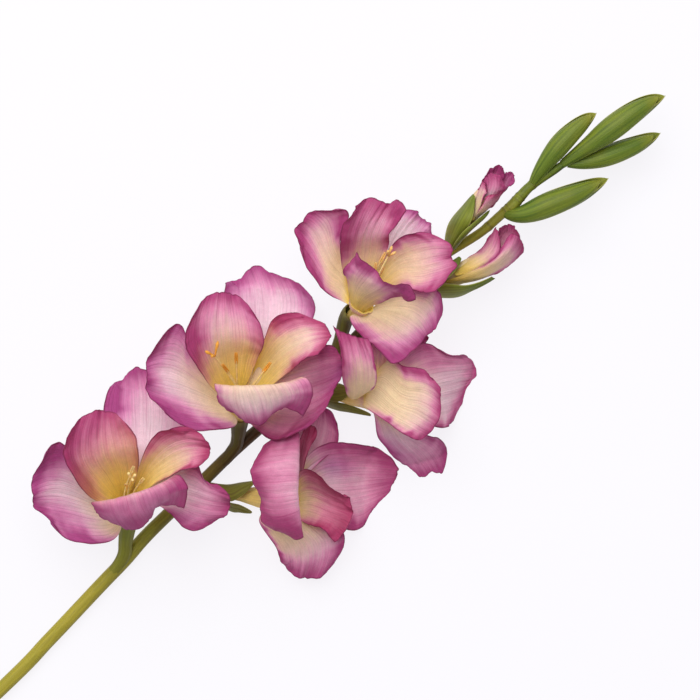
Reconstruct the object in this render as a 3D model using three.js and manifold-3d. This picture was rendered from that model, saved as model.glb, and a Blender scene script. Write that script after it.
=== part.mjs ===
// A cut gladiolus spike lying on a table: five open blooms, two opening buds and four green buds on one
// stem, with the bracts that hold them. Millimetres, +X along the stem towards the tip, +Z up, and the
// ground at Z = 0.
import * as THREE from "three";
import Module from "manifold-3d";

const wasm = await Module();
wasm.setup();

// Driving sizes.
const cutEndX = -350;
const stemY = -7.5;
const petalThickness = 0.7;
const bractThickness = 0.8;
const clearance = 0.3;
const throatRadius = 5.5;
const tubeWall = 1.1;
const clawSpread = 33;
const clawStep = 0.6;

// The flower is set out from above on a square sheet, in steps of half a millimetre, x to the right and
// y down, as an eye over the sheet's middle sees it. A third number is a height above the ground in
// millimetres.
const sheetStep = 0.5;
const sheetMiddle = 350;
const eyeHeight = 1500;
const sheetHeight = 20;
const stemTurn = THREE.MathUtils.degToRad(42);
const sheetShift = [148, 4];

// The stem's middle line on the sheet, from the lowest bloom's side up to the tip, with its radius.
const stemLine = [
  [0, 690, 3.6, 3.5],
  [50, 639, 3.7, 3.5],
  [100, 586, 3.9, 3.5],
  [125, 560, 4.2, 3.5],
  [150, 532, 4.8, 3.4],
  [200, 484, 6.8, 3.2],
  [236, 449, 8.8, 3.1],
  [285, 406, 11, 3],
  [322, 371, 12.6, 3],
  [356, 337, 14, 2.8],
  [388, 303, 15.4, 2.7],
  [417, 275, 16.8, 2.5],
  [448, 253, 18.3, 2.4],
  [480, 233, 19.8, 2.3],
  [501, 215, 21, 2.4],
  [512, 206, 21.5, 3],
  [521, 196, 22, 2.7],
  [532, 185, 22.4, 2.4],
  [556, 169, 23.4, 2.2],
  [572, 158, 24.1, 1.9],
];

const petalPink = { color: 0xc4689f, roughness: 0.62, metalness: 0 };
const budPink = { color: 0xb9598c, roughness: 0.62, metalness: 0 };
const stemGreen = { color: 0x7d7d32, roughness: 0.55, metalness: 0 };
const budGreen = { color: 0x66802f, roughness: 0.55, metalness: 0 };
const antherYellow = { color: 0xd9a21e, roughness: 0.7, metalness: 0 };

// Stamens by how deep their foot sits in the tube, and how far out and how wide their threads bend.
const longThreads = { foot: -6, knobRadius: 1.5, bend: 6, spread: 2, styleBend: 8, styleSpread: 1 };
const shortThreads = { foot: -5, knobRadius: 1.4, bend: 3, spread: 1.6, styleBend: 4, styleSpread: 0.8 };

// The open blooms from the lowest to the highest. A bloom has its throat's place, the way its tube faces
// on the sheet, that tube's tilt above the ground and the place of the tube's foot. A stout tube has its
// own swell, in pairs of a share of its line and a radius. The foot stands in a spathe that leaves the
// stem as a cup, or between two bracts, each a net of points. A tepal has its place round the throat as a
// clock angle and a net of points: rows from the claw to the tip. A height below the ground marks a tip
// that is pressed flat on it.
const blooms = [
  {
    throat: [129, 505, 26],
    heading: 92,
    tilt: 45,
    foot: [126.7, 533, 13.8],
    spathe: {
      line: [
        [104, 581, 4], [114, 571, 4.4], [121.5, 561, 5.4], [125, 552, 7.5], [125.5, 542, 10.5],
        [127, 531, 14.5], [129, 519, 19],
      ],
      radii: [2.9, 3.3, 3.5, 3.6, 3.6, 4.1, 5],
    },
    stigmas: [[128, 472, 52], [136, 474, 52], [133, 480, 50]],
    anthers: [[134, 466, 48], [126, 484, 50], [144, 478, 44]],
    tepals: [
      {
        clock: 0,
        outer: true,
        net: [
          [[114, 446, 34], [146, 452, 28], [180, 446, 32]],
          [[104, 404, 16], [150, 410, 8], [196, 420, 14]],
          [[118, 382, -5], [145, 367, -14], [182, 380, -8]],
        ],
      },
      {
        clock: -110,
        outer: true,
        net: [
          [[113, 540, 28], [98, 506, 30], [84, 468, 40]],
          [[76, 542, 34], [62, 494, 34], [60, 443, 48]],
          [[45, 515, 38], [31, 497, 40], [40, 461, 46]],
        ],
      },
      {
        clock: 112,
        outer: true,
        net: [
          [[174, 468, 32], [160, 490, 28], [157, 506, 28]],
          [[196, 465, 37], [186, 496, 34], [170, 514, 31]],
          [[207, 481, 38], [208, 502, 36], [188, 530, 34]],
          [[223, 486, 38], [231, 506, 34], [214, 525, 32]],
        ],
      },
      {
        clock: -50,
        net: [
          [[86, 494, 48], [108, 478, 38], [138, 470, 40]],
          [[65, 456, 62], [94, 452, 52], [137, 441, 52]],
          [[73, 424, 60], [98, 409, 52], [119, 416, 50]],
        ],
      },
      {
        clock: 60,
        net: [
          [[142, 458, 40], [152, 470, 34], [154, 484, 38]],
          [[162, 430, 50], [180, 450, 44], [182, 472, 50]],
          [[197, 430, 50], [211, 448, 48], [203, 464, 50]],
        ],
      },
      {
        clock: 180,
        net: [
          [[160, 488, 48], [146, 496, 44], [131, 501, 42], [117, 503, 44], [102, 503, 46]],
          [[177, 475, 64], [156, 486, 68], [134, 494, 68], [112, 500, 66], [91, 503, 58]],
          [[188, 488, 64], [163, 497, 68], [139, 509, 68], [115, 514, 66], [95, 510, 58]],
          [[184, 510, 56], [160, 505, 60], [149, 522, 58], [127, 530, 56], [103, 517, 52]],
        ],
      },
    ],
  },
  {
    throat: [284, 500, 18],
    heading: -5,
    tilt: 36,
    foot: [224, 493, 10],
    tubeSwell: [[0, 2.2], [0.1, 2.7], [0.2, 3.1], [0.3, 3.9], [0.45, 5.1], [0.7, 5.6]],
    bracts: [
      [
        [[200, 480, 7], [203, 485, 8.5], [204, 489, 6.5]],
        [[225, 484.5, 9.5], [228, 494, 14.8], [227, 501, 13]],
        [[241, 482.5, 11], [243, 488, 16.6], [240, 497, 17.5]],
        [[253, 481, 14], [254.5, 482.5, 16], [252.5, 485, 17.5]],
      ],
      [
        [[198, 486, 7.5], [200, 489, 6.5], [200, 491, 5]],
        [[226, 501, 12], [228, 505, 9.5], [228, 510, 5.5]],
        [[240, 505, 11], [241, 509, 8], [240, 512.5, 5]],
        [[251, 511, 9], [252, 512.5, 8], [250.5, 513.5, 7]],
      ],
    ],
    threads: shortThreads,
    stigmas: [[298, 497, 24], [299, 500, 23], [298, 503, 24]],
    anthers: [[294, 496, 23], [296, 500, 21], [294, 504, 22]],
    tepals: [
      {
        clock: 0,
        outer: true,
        net: [
          [[312, 451, 24], [320, 482, 12], [326, 524, 14]],
          [[346, 443, 16], [352, 478, 4], [359, 530, 4]],
          [[385, 449, -4], [398, 475, -14], [374, 501, -6]],
        ],
      },
      {
        clock: -100,
        outer: true,
        net: [
          [[284, 462, 20], [300, 464, 18], [316, 466, 18]],
          [[290, 428, 24], [312, 432, 18], [339, 441, 14]],
          [[306, 408, 22], [319, 403, 20], [327, 410, 16]],
        ],
      },
      {
        clock: 110,
        outer: true,
        net: [
          [[330, 522, 18], [294, 526, 20], [259, 520, 20]],
          [[345, 538, 18], [312, 548, 18], [276, 548, 20]],
          [[330, 570, 12], [307, 580, 10], [280, 565, 14]],
        ],
      },
      {
        clock: -60,
        net: [
          [[296, 474, 30], [300, 472, 26], [303, 470, 28]],
          [[298, 450, 36], [304, 452, 31], [309, 450, 30]],
          [[303, 429, 38], [311, 424, 34], [320, 433, 32]],
        ],
      },
      {
        clock: 60,
        net: [
          [[302, 470, 28], [308, 498, 18], [304, 522, 22]],
          [[325, 481, 30], [332, 506, 21], [320, 529, 26]],
          [[346, 499, 28], [353, 514, 24], [337, 545, 24]],
        ],
      },
      {
        clock: 180,
        net: [
          [[296, 520, 36], [294, 510, 38], [292, 498, 38], [292, 480, 40], [294, 460, 40]],
          [[303, 537, 42], [299, 515, 50], [297, 492, 52], [298, 462, 50], [299, 432, 42]],
          [[292, 538, 42], [280, 522, 50], [275, 494, 54], [275, 462, 52], [284, 434, 42]],
          [[278, 531, 38], [261, 516, 42], [258, 492, 44], [250, 468, 46], [266, 444, 42]],
        ],
      },
    ],
  },
  {
    throat: [241, 406, 32],
    heading: 84,
    tilt: 45,
    foot: [238.7, 429, 19],
    spathe: {
      line: [
        [216, 469, 7.8], [225, 460, 8.6], [232.5, 451, 9.8], [236.5, 444, 12], [238, 436, 15.5],
        [239, 427, 20], [240, 416, 25],
      ],
      radii: [2.8, 3.1, 3.3, 3.3, 3.4, 4.1, 5],
    },
    stigmas: [[218, 341, 64], [205, 351, 66], [211, 356, 66]],
    anthers: [[236, 352, 58], [222, 364, 60], [271, 362, 48]],
    tepals: [
      {
        clock: 0,
        outer: true,
        net: [
          [[232, 345, 38], [247, 348, 34], [262, 350, 32], [280, 350, 34], [296, 348, 38]],
          [[224, 299, 20], [246, 303, 14], [270, 306, 10], [294, 308, 14], [315, 315, 22]],
          [[227, 281, -4], [243, 276, -14], [260, 266, -18], [283, 277, -14], [307, 288, -4]],
        ],
      },
      {
        clock: -110,
        outer: true,
        net: [
          [[233, 427, 34], [210, 398, 32], [194, 354, 38]],
          [[198, 430, 40], [174, 384, 36], [180, 325, 46]],
          [[155, 406, 42], [145, 380, 42], [153, 345, 46]],
        ],
      },
      {
        clock: 115,
        outer: true,
        net: [
          [[284, 376, 40], [272, 398, 34], [254, 427, 38]],
          [[320, 351, 48], [312, 390, 40], [280, 441, 48]],
          [[337, 352, 46], [342, 375, 44], [319, 417, 48]],
        ],
      },
      {
        clock: -48,
        net: [
          [[204, 378, 52], [226, 364, 42], [257, 360, 44]],
          [[186, 341, 64], [222, 332, 54], [264, 338, 56]],
          [[200, 301, 60], [222, 291, 52], [246, 299, 52]],
        ],
      },
      {
        clock: 52,
        net: [
          [[264, 340, 40], [268, 362, 36], [282, 377, 44]],
          [[278, 315, 46], [296, 338, 48], [304, 362, 58]],
          [[311, 316, 48], [331, 332, 52], [323, 348, 58]],
        ],
      },
      {
        clock: 180,
        net: [
          [[286, 386, 52], [266, 392, 50], [248, 394, 48], [232, 393, 50], [220, 389, 52]],
          [[305, 377, 68], [280, 384, 72], [250, 386, 74], [230, 386, 70], [214, 384, 64]],
          [[313, 393, 68], [288, 396, 72], [257, 403, 74], [230, 401, 70], [217, 395, 64]],
          [[303, 418, 60], [283, 408, 64], [262, 425, 62], [240, 419, 60], [222, 405, 58]],
        ],
      },
    ],
  },
  {
    throat: [368, 397, 26],
    heading: 5,
    tilt: 38,
    foot: [328, 392.5, 17],
    tubeSwell: [[0, 2.2], [0.2, 2.8], [0.45, 3.9], [0.7, 4.8]],
    bracts: [
      [
        [[306, 384, 13], [308, 389, 14.5], [306, 392, 12.5]],
        [[328, 383, 17], [331, 392, 22], [330, 401, 19.5]],
        [[341, 384, 20], [344, 391, 25.2], [341, 401, 23.5]],
        [[347, 389, 25], [349, 391.5, 26.8], [346, 395, 26.5]],
      ],
      [
        [[304, 390, 13.5], [305, 394, 12.5], [303, 396, 11]],
        [[332, 400.5, 19], [334, 405, 17], [333, 409, 12]],
        [[350, 405, 19], [352, 409, 17], [350, 412.5, 14]],
        [[369, 413, 18], [371, 415, 17], [370, 416, 16]],
      ],
    ],
    threads: shortThreads,
    stigmas: [[381, 393, 31], [382, 397, 30], [381, 401, 30]],
    anthers: [[377, 391, 31], [379, 397, 29], [377, 403, 29]],
    tepals: [
      {
        clock: -5,
        outer: true,
        net: [
          [[392, 368, 32], [394, 378, 28], [396, 388, 26], [397, 400, 26], [397, 412, 28]],
          [[420, 343, 32], [428, 362, 25], [432, 384, 20], [434, 404, 20], [438, 428, 22]],
          [[444, 353, 24], [457, 362, 14], [460, 378, 8], [452, 400, 8], [450, 425, 12]],
          [[463, 354, 12], [472, 360, 0], [475, 377, -6], [465, 393, -2], [456, 418, 4]],
        ],
      },
      {
        clock: -100,
        outer: true,
        net: [
          [[368, 374, 28], [380, 370, 24], [392, 368, 24]],
          [[378, 342, 28], [400, 342, 22], [422, 346, 22]],
          [[394, 324, 28], [412, 322, 24], [429, 336, 22]],
        ],
      },
      {
        clock: 110,
        outer: true,
        net: [
          [[395, 418, 26], [385, 418, 23], [373, 412, 24]],
          [[418, 432, 22], [402, 440, 15], [379, 439, 18]],
          [[440, 438, 12], [420, 458, 4], [394, 455, 7]],
          [[450, 461, -6], [430, 474, -16], [405, 469, -8]],
        ],
      },
      {
        clock: -60,
        net: [
          [[368, 374, 36], [378, 376, 32], [386, 376, 32]],
          [[366, 352, 40], [380, 356, 34], [394, 362, 32]],
          [[370, 340, 36], [386, 342, 34], [400, 350, 32]],
        ],
      },
      {
        clock: 165,
        net: [
          [[370, 400, 35], [375, 388, 34], [380, 377, 34], [384, 368, 35], [387, 361, 36]],
          [[386, 422, 38], [396, 409, 38], [402, 395, 38], [405, 380, 40], [403, 365, 42]],
          [[403, 434, 40], [416, 418, 40], [424, 400, 41], [426, 384, 42], [423, 369, 43]],
          [[421, 441, 38], [434, 430, 39], [441, 412, 40], [441, 396, 41], [433, 379, 41]],
        ],
      },
      {
        clock: 218,
        net: [
          [[349, 397, 34], [356, 398, 38], [367, 392, 41]],
          [[344, 383, 44], [358, 385, 50], [376, 384, 49]],
          [[341, 360, 54], [357, 362, 59], [376, 366, 54]],
          [[333, 325, 50], [350, 334, 57], [367, 337, 54]],
        ],
      },
    ],
  },
  {
    throat: [360, 306, 36],
    heading: 55,
    tilt: 46,
    foot: [346.5, 318.5, 27.5],
    spathe: {
      line: [
        [318, 375, 12.4], [327, 364.5, 13.2], [335, 353, 15], [340, 341, 18.5], [343, 329, 23],
        [346.5, 318.5, 27.5], [352, 312.7, 31.4],
      ],
      radii: [2.6, 2.9, 3.2, 3.4, 3.5, 3.9, 4.8],
    },
    stigmas: [[392, 246, 56], [396, 252, 54], [388, 250, 58]],
    anthers: [[386, 252, 54], [384, 266, 50], [376, 262, 52]],
    tepals: [
      {
        clock: 10,
        outer: true,
        net: [
          [[376, 266, 38], [386, 260, 34], [398, 256, 34]],
          [[386, 230, 32], [404, 234, 26], [426, 240, 24]],
          [[400, 208, 24], [420, 214, 16], [433, 233, 14]],
        ],
      },
      {
        clock: -95,
        outer: true,
        net: [
          [[340, 300, 38], [341, 276, 36], [341, 253, 40]],
          [[323, 291, 42], [329, 262, 38], [342, 232, 46]],
          [[308, 265, 44], [315, 234, 40], [348, 213, 52]],
          [[297, 244, 44], [300, 221, 44], [329, 208, 50]],
        ],
      },
      {
        clock: 110,
        outer: true,
        net: [
          [[392, 295, 40], [379, 312, 38], [350, 319, 38]],
          [[434, 286, 42], [404, 322, 40], [366, 341, 46]],
          [[441, 321, 38], [424, 341, 38], [398, 367, 50]],
        ],
      },
      {
        clock: -40,
        net: [
          [[341, 262, 48], [352, 260, 44], [364, 257, 42], [376, 254, 42], [387, 250, 44]],
          [[342, 232, 62], [355, 232, 56], [368, 232, 52], [380, 232, 52], [391, 232, 56]],
          [[357, 206, 60], [372, 196, 56], [387, 203, 54], [396, 198, 56], [409, 208, 62]],
        ],
      },
      {
        clock: 50,
        net: [
          [[388, 252, 42], [391, 262, 38], [394, 272, 38], [396, 279, 40], [398, 286, 44]],
          [[408, 234, 46], [420, 248, 44], [422, 264, 44], [424, 278, 46], [424, 294, 52]],
          [[436, 234, 46], [453, 246, 48], [452, 257, 48], [458, 267, 48], [437, 284, 52]],
        ],
      },
      {
        clock: 180,
        net: [
          [[378, 303, 46], [370, 300, 50], [361, 297, 52], [353, 290, 52], [347, 283, 50]],
          [[398, 299, 54], [388, 291, 62], [374, 288, 64], [357, 276, 64], [346, 268, 58]],
          [[419, 299, 62], [404, 285, 69], [382, 279, 72], [368, 263, 72], [357, 249, 68]],
        ],
      },
    ],
  },
];

// Opening buds: a line from the foot to the tip, the bud's heart as pairs of a share of the line and a
// radius, and the nets of the tepals rolled round it and of the green bracts that hold it.
const openingBuds = [
  {
    line: [[404, 288, 15.5], [428, 286, 18.5], [462, 273, 22], [488, 260, 25], [502, 250, 27]],
    heart: [[0, 0], [0, 0.6], [0.1, 1], [0.25, 3.6], [0.55, 5.6], [0.8, 5], [0.98, 2.5], [1, 0]],
    tepals: [
      [
        [[478, 261, 22], [486, 263, 21], [494, 264, 23]],
        [[492, 240, 25], [503, 243, 21], [514, 250, 24]],
        [[499, 232, 30], [509, 224, 27], [521, 235, 29]],
      ],
      [
        [[448, 275, 19], [452, 272, 25], [456, 276, 29]],
        [[467, 259, 22], [474, 262, 31], [481, 268, 33]],
        [[483, 246, 25], [490, 250, 34], [498, 256, 37]],
        [[495, 226, 30], [497, 229, 33], [500, 237, 36]],
      ],
      [
        [[444, 281, 24], [448, 283, 24], [451, 284.5, 20.5]],
        [[474, 270, 34], [480, 274, 33], [482, 279, 24]],
        [[497, 256, 38], [505, 258, 37], [507, 267, 26]],
        [[507, 233, 36], [519, 236, 39], [526, 252, 30]],
      ],
    ],
    bracts: [
      [
        [[403, 284.5, 15], [404, 284.5, 17.2], [406, 286.5, 18.2]],
        [[429, 274, 15], [434, 272.5, 26], [440, 281, 30]],
        [[449, 262.5, 19.5], [451.5, 266, 28], [453.5, 273, 32]],
        [[459, 256.5, 25], [460, 257, 26], [461.5, 259, 27]],
      ],
      [
        [[407, 287.5, 18.2], [407.5, 290, 17], [406, 291.5, 15]],
        [[447, 284, 30], [450, 292, 27], [450, 298, 19]],
        [[468, 285, 30], [472, 288, 27], [474, 290, 22]],
        [[492, 276.5, 27], [493, 277.5, 26], [495, 278.5, 25]],
      ],
    ],
  },
  {
    line: [[449, 250, 18], [457, 233, 23], [469, 215, 25], [482, 199, 26], [492, 188, 27]],
    heart: [[0, 0], [0, 0.6], [0.15, 1.2], [0.3, 3.4], [0.55, 4.8], [0.8, 5], [0.98, 2.5], [1, 0]],
    tepals: [
      [
        [[475, 203, 24], [481, 201, 22], [488, 202, 24]],
        [[481, 184, 27], [491, 183, 23], [500, 186, 25]],
        [[486, 175, 30], [497, 165, 28], [506, 171, 30]],
      ],
      [
        [[484, 204, 24], [488, 204, 23], [493, 202, 25]],
        [[495, 189, 26], [501, 190, 24], [507, 189, 28]],
        [[505, 175, 29], [511.5, 171.5, 27], [516, 181, 29]],
      ],
      [
        [[476, 208, 28], [483, 206, 30.5], [490, 204, 28.5]],
        [[483, 191, 32], [493, 189, 37], [504, 191, 33]],
        [[484, 178, 33], [493, 173, 36], [502, 179, 33]],
      ],
      [
        [[466, 224, 23], [470, 221, 29], [474, 220, 31]],
        [[473, 203, 25], [477, 201, 33], [483, 200, 37]],
        [[483, 182, 30], [484.5, 182, 34], [487, 188, 38]],
      ],
      [
        [[470, 221, 28.5], [473, 221.5, 28], [475, 219.5, 25]],
        [[481, 207, 37], [486, 207, 35], [492, 206, 26]],
        [[487, 194, 38], [498, 193, 38], [509, 186, 29]],
      ],
    ],
    bracts: [
      [
        [[445.5, 252, 18], [447.5, 250.5, 20], [450, 250, 20.3]],
        [[448, 225, 22], [459, 223, 33], [467, 228, 34]],
        [[464, 204, 25], [469, 206, 33], [473, 215, 36]],
        [[473.5, 194, 30], [474, 195, 31], [475, 197, 32]],
      ],
      [
        [[450.5, 250.5, 20.3], [452.5, 251.5, 19.5], [453.5, 251, 18]],
        [[461, 234, 34], [467, 234, 33], [471, 228, 24]],
        [[473, 223, 36], [480, 221, 33.5], [485, 217.5, 27]],
        [[487.5, 211, 30.5], [488.5, 210.8, 29.5], [489.5, 210, 28.5]],
      ],
    ],
  },
];

// Green buds: a line from the foot to the tip and the greatest radius.
const greenBuds = [
  {
    radius: 6,
    line: [[506, 213, 21.5], [523, 214, 23], [550, 204, 24.5], [581, 191.5, 26], [608, 177, 26]],
  },
  {
    radius: 5,
    line: [[532, 184, 22.8], [543, 166, 25], [560, 144.5, 27], [579, 126, 28], [596, 112, 28]],
  },
  {
    radius: 5,
    line: [[567, 163.5, 22.6], [588, 161.5, 21], [612, 154, 20.5], [638, 144, 20], [660, 132, 20]],
  },
  {
    radius: 5.8,
    line: [[574, 157, 24.3], [593, 143, 26.2], [616, 125.5, 27.5], [641, 107.5, 28], [665, 94.5, 28]],
  },
];

// A point of the sheet in the part's own frame.
function at([x, y, height]) {
  const scale = (sheetStep * (eyeHeight - height)) / (eyeHeight - sheetHeight);
  const right = (x - sheetMiddle) * scale;
  const up = (sheetMiddle - y) * scale;
  return new THREE.Vector3(
    Math.cos(stemTurn) * right + Math.sin(stemTurn) * up + sheetShift[0],
    Math.cos(stemTurn) * up - Math.sin(stemTurn) * right + sheetShift[1],
    height,
  );
}

// The sum of points times their weights.
function mix(points, weights) {
  const sum = new THREE.Vector3();
  points.forEach((point, i) => sum.addScaledVector(point, weights[i]));
  return sum;
}

// A point on the smooth curve through the given points, at a share of the way from first to last.
function along(points, share) {
  const last = points.length - 1;
  const place = Math.min(Math.max(share, 0), 1) * last;
  const i = Math.min(Math.floor(place), last - 1);
  const slopeAt = (k) => {
    if (last === 1) return mix(points, [-1, 1]);
    if (k === 0) return mix(points.slice(0, 3), [-1.5, 2, -0.5]);
    if (k === last) return mix(points.slice(-3), [0.5, -2, 1.5]);
    return points[k + 1].clone().sub(points[k - 1]).multiplyScalar(0.5);
  };
  const u = place - i;
  const v = 1 - u;
  const corners = [points[i], points[i + 1], slopeAt(i), slopeAt(i + 1)];
  return mix(corners, [v * v * (1 + 2 * u), u * u * (3 - 2 * u), u * v * v, -u * u * v]);
}

// The value of the parabola through three values at 0, one half and 1.
function throughThree([first, middle, last], t) {
  return first * (1 - t) * (1 - 2 * t) + 4 * middle * t * (1 - t) + last * t * (2 * t - 1);
}

// Two directions across a curve, the first level and the second upwards.
function frameAt(curve, share) {
  const step = 0.01;
  const ahead = curve(Math.min(share + step, 1));
  ahead.sub(curve(Math.max(share - step, 0))).normalize();
  const side = new THREE.Vector3(0, 0, 1).cross(ahead).normalize();
  return { side, rise: ahead.cross(side) };
}

function solidFrom(points, faces) {
  const vertProperties = new Float32Array(points.flatMap((p) => [p.x, p.y, p.z]));
  const triVerts = new Uint32Array(faces.flat());
  return new wasm.Manifold(new wasm.Mesh({ numProp: 3, vertProperties, triVerts }));
}

// Solids joined into one, without the tiny closed gaps that are left where thin blades cross.
function fuse(solids) {
  const whole = solids.reduce((joined, piece) => joined.add(piece));
  const bodies = whole.decompose().filter((body) => body.volume() > 0);
  return bodies.reduce((joined, body) => joined.add(body));
}

// A round solid along a curve. The profile holds pairs of a share of the curve and a radius, and it
// starts and ends on the curve. Where it turns back, it makes a hollow.
function turned(curve, profile, sides) {
  const rings = profile.slice(1, -1).map(([share, radius]) => {
    const { side, rise } = frameAt(curve, share);
    return Array.from({ length: sides }, (_, k) => {
      const angle = (2 * Math.PI * k) / sides;
      const out = side.clone().multiplyScalar(radius * Math.cos(angle));
      return curve(share).add(out).addScaledVector(rise, radius * Math.sin(angle));
    });
  });
  const points = [curve(profile[0][0]), ...rings.flat(), curve(profile[profile.length - 1][0])];
  const vertex = (ring, k) => 1 + ring * sides + (k % sides);
  const faces = [];
  for (let k = 0; k < sides; k += 1) {
    faces.push([0, vertex(0, k + 1), vertex(0, k)]);
    faces.push([points.length - 1, vertex(rings.length - 1, k), vertex(rings.length - 1, k + 1)]);
  }
  for (let ring = 0; ring < rings.length - 1; ring += 1) {
    for (let k = 0; k < sides; k += 1) {
      faces.push([vertex(ring, k), vertex(ring, k + 1), vertex(ring + 1, k + 1)]);
      faces.push([vertex(ring, k), vertex(ring + 1, k + 1), vertex(ring + 1, k)]);
    }
  }
  return solidFrom(points, faces);
}

// A thin blade round a grid of points on its middle surface, split into triangles alike on both faces.
// Where the blade is pressed against the ground, it lies flat.
function blade(grid, thickness) {
  const rows = grid.length;
  const columns = grid[0].length;
  const half = thickness / 2;
  const normals = grid.map((row, i) =>
    row.map((_, j) => {
      const down = grid[Math.min(i + 1, rows - 1)][j].clone().sub(grid[Math.max(i - 1, 0)][j]);
      const across = row[Math.min(j + 1, columns - 1)].clone().sub(row[Math.max(j - 1, 0)]);
      const normal = down.cross(across).normalize();
      return row[j].z > half ? normal : new THREE.Vector3(0, 0, Math.sign(normal.z));
    }),
  );
  const layer = (shift) =>
    grid.flatMap((row, i) => row.map((p, j) => p.clone().addScaledVector(normals[i][j], shift)));
  const points = [...layer(half), ...layer(-half)];
  const front = (i, j) => i * columns + j;
  const back = (i, j) => rows * columns + front(i, j);
  const faces = [];
  const wall = (a, b, c, d) => faces.push([a, b, c], [a, c, d]);
  for (let i = 0; i < rows - 1; i += 1) {
    for (let j = 0; j < columns - 1; j += 1) {
      wall(front(i, j), front(i + 1, j), front(i + 1, j + 1), front(i, j + 1));
      wall(back(i, j), back(i, j + 1), back(i + 1, j + 1), back(i + 1, j));
    }
  }
  for (let i = 0; i < rows - 1; i += 1) {
    wall(front(i, 0), back(i, 0), back(i + 1, 0), front(i + 1, 0));
    const edge = columns - 1;
    wall(front(i + 1, edge), back(i + 1, edge), back(i, edge), front(i, edge));
  }
  for (let j = 0; j < columns - 1; j += 1) {
    wall(front(0, j + 1), back(0, j + 1), back(0, j), front(0, j));
    const end = rows - 1;
    wall(front(end, j), back(end, j), back(end, j + 1), front(end, j + 1));
  }
  return solidFrom(points, faces);
}

// The frame of a bloom's throat: its axis, the side away from the viewer and the side to the right.
function throatOf({ throat, heading, tilt }) {
  const turn = THREE.MathUtils.degToRad(heading) - stemTurn;
  const lean = THREE.MathUtils.degToRad(tilt);
  const level = new THREE.Vector3(Math.cos(turn), Math.sin(turn), 0);
  const axis = level.clone().multiplyScalar(Math.cos(lean)).setZ(Math.sin(lean));
  const top = level.clone().multiplyScalar(Math.sin(lean)).setZ(-Math.cos(lean));
  return { centre: at(throat), axis, top, right: top.clone().cross(axis) };
}

// The point on the throat's ring at a clock angle.
function ringPoint({ centre, top, right }, clock, radius) {
  const angle = THREE.MathUtils.degToRad(clock);
  return centre
    .clone()
    .addScaledVector(top, radius * Math.cos(angle))
    .addScaledVector(right, radius * Math.sin(angle));
}

// Points on the smooth patch through a net, from its first row to its last.
function patchGrid(net, rows, columns) {
  const points = net.map((row) => row.map(at));
  return Array.from({ length: rows + 1 }, (_, i) =>
    Array.from({ length: columns + 1 }, (__, j) => {
      const line = points.map((row) => along(row, j / columns));
      return along(line, i / rows);
    }),
  );
}

// The middle surface of a tepal: a smooth patch through its net, from the ring outwards, with a waved
// margin.
const tepalRows = 6;
const tepalColumns = 6;
const frill = 1.2;
const frillWaves = 2.2;
function tepalGrid(place, { clock, outer, net }) {
  const columns = net[0].length;
  const radius = throatRadius + (outer ? clawStep : -clawStep);
  const claw = net[0].map((_, j) => {
    const aside = (2 * j) / (columns - 1) - 1;
    return ringPoint(place, clock + clawSpread * aside, radius);
  });
  const rows = [claw, ...net.map((row) => row.map(at))];
  const surface = (t, x) => along(rows.map((row) => along(row, x)), t);
  return Array.from({ length: tepalRows + 1 }, (_, i) => {
    const t = i / tepalRows;
    return Array.from({ length: tepalColumns + 1 }, (__, j) => {
      const x = j / tepalColumns;
      const point = surface(t, x);
      const step = 0.02;
      const down = surface(Math.min(t + step, 1), x).sub(surface(Math.max(t - step, 0), x));
      const across = surface(t, Math.min(x + step, 1)).sub(surface(t, Math.max(x - step, 0)));
      point.addScaledVector(down.cross(across).normalize(), marginWave(t, 2 * x - 1, clock));
      point.z = Math.max(point.z, petalThickness / 2);
      return point;
    });
  });
}

// How far the margin waves off the smooth patch, at t from claw to tip and x from -1 to 1 across.
function marginWave(t, x, clock) {
  const atSide = Math.abs(x) > 2 * t - 1;
  const rim = Math.max(Math.abs(x), 2 * t - 1);
  const round = atSide ? Math.sign(x) * (1 + (1 - t) * 1.6) : x;
  const fade = Math.min(Math.max(1.6 * t - 0.3, 0), 1);
  return frill * rim ** 3 * fade * Math.sin(Math.PI * frillWaves * round + THREE.MathUtils.degToRad(clock));
}

// The tube's middle line, from the foot beside the stem up to the throat and on a little past it.
const throatLip = 2.5;
const throatShare = 0.9;
function tubeCurve(bloom) {
  const { centre, axis } = throatOf(bloom);
  const foot = at(bloom.foot);
  const reach = foot.distanceTo(centre);
  const bend = centre.clone().addScaledVector(axis, -0.45 * reach);
  bend.lerp(foot.clone().lerp(centre, 0.5), 0.35);
  return (share) => {
    if (share <= throatShare) return along([foot, bend, centre], share / throatShare);
    const beyond = (share - throatShare) / (1 - throatShare);
    return centre.clone().addScaledVector(axis, throatLip * beyond);
  };
}

const slimSwell = [[0, 2], [0.2, 2.3], [0.45, 2.9], [0.7, 4]];
const hollowFloor = 0.3;

function tube(bloom) {
  const lip = throatRadius + tubeWall / 2;
  const swell = bloom.tubeSwell ?? slimSwell;
  const [waistShare, waist] = swell[swell.length - 1];
  const profile = [
    [0, 0],
    ...swell,
    [throatShare, lip],
    [1, lip + 0.9],
    [1, lip + 0.9 - tubeWall],
    [throatShare, lip - tubeWall],
    [waistShare, waist - tubeWall],
    [hollowFloor, 2],
    [hollowFloor, 0],
  ];
  return turned(tubeCurve(bloom), profile, 8);
}

const stemPoints = [
  new THREE.Vector3(cutEndX, stemY, stemLine[0][3]),
  new THREE.Vector3(-230, stemY, stemLine[0][3]),
  ...stemLine.map(at),
];
const stemCurve = (share) => along(stemPoints, share);
const stemRadii = [stemLine[0][3], stemLine[0][3], ...stemLine.map((row) => row[3])];

function stemBody(extra) {
  const last = stemPoints.length - 1;
  const profile = stemRadii.map((radius, k) => [k / last, radius + extra]);
  return turned(stemCurve, [[0, 0], ...profile, [1, 0]], 8);
}

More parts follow.
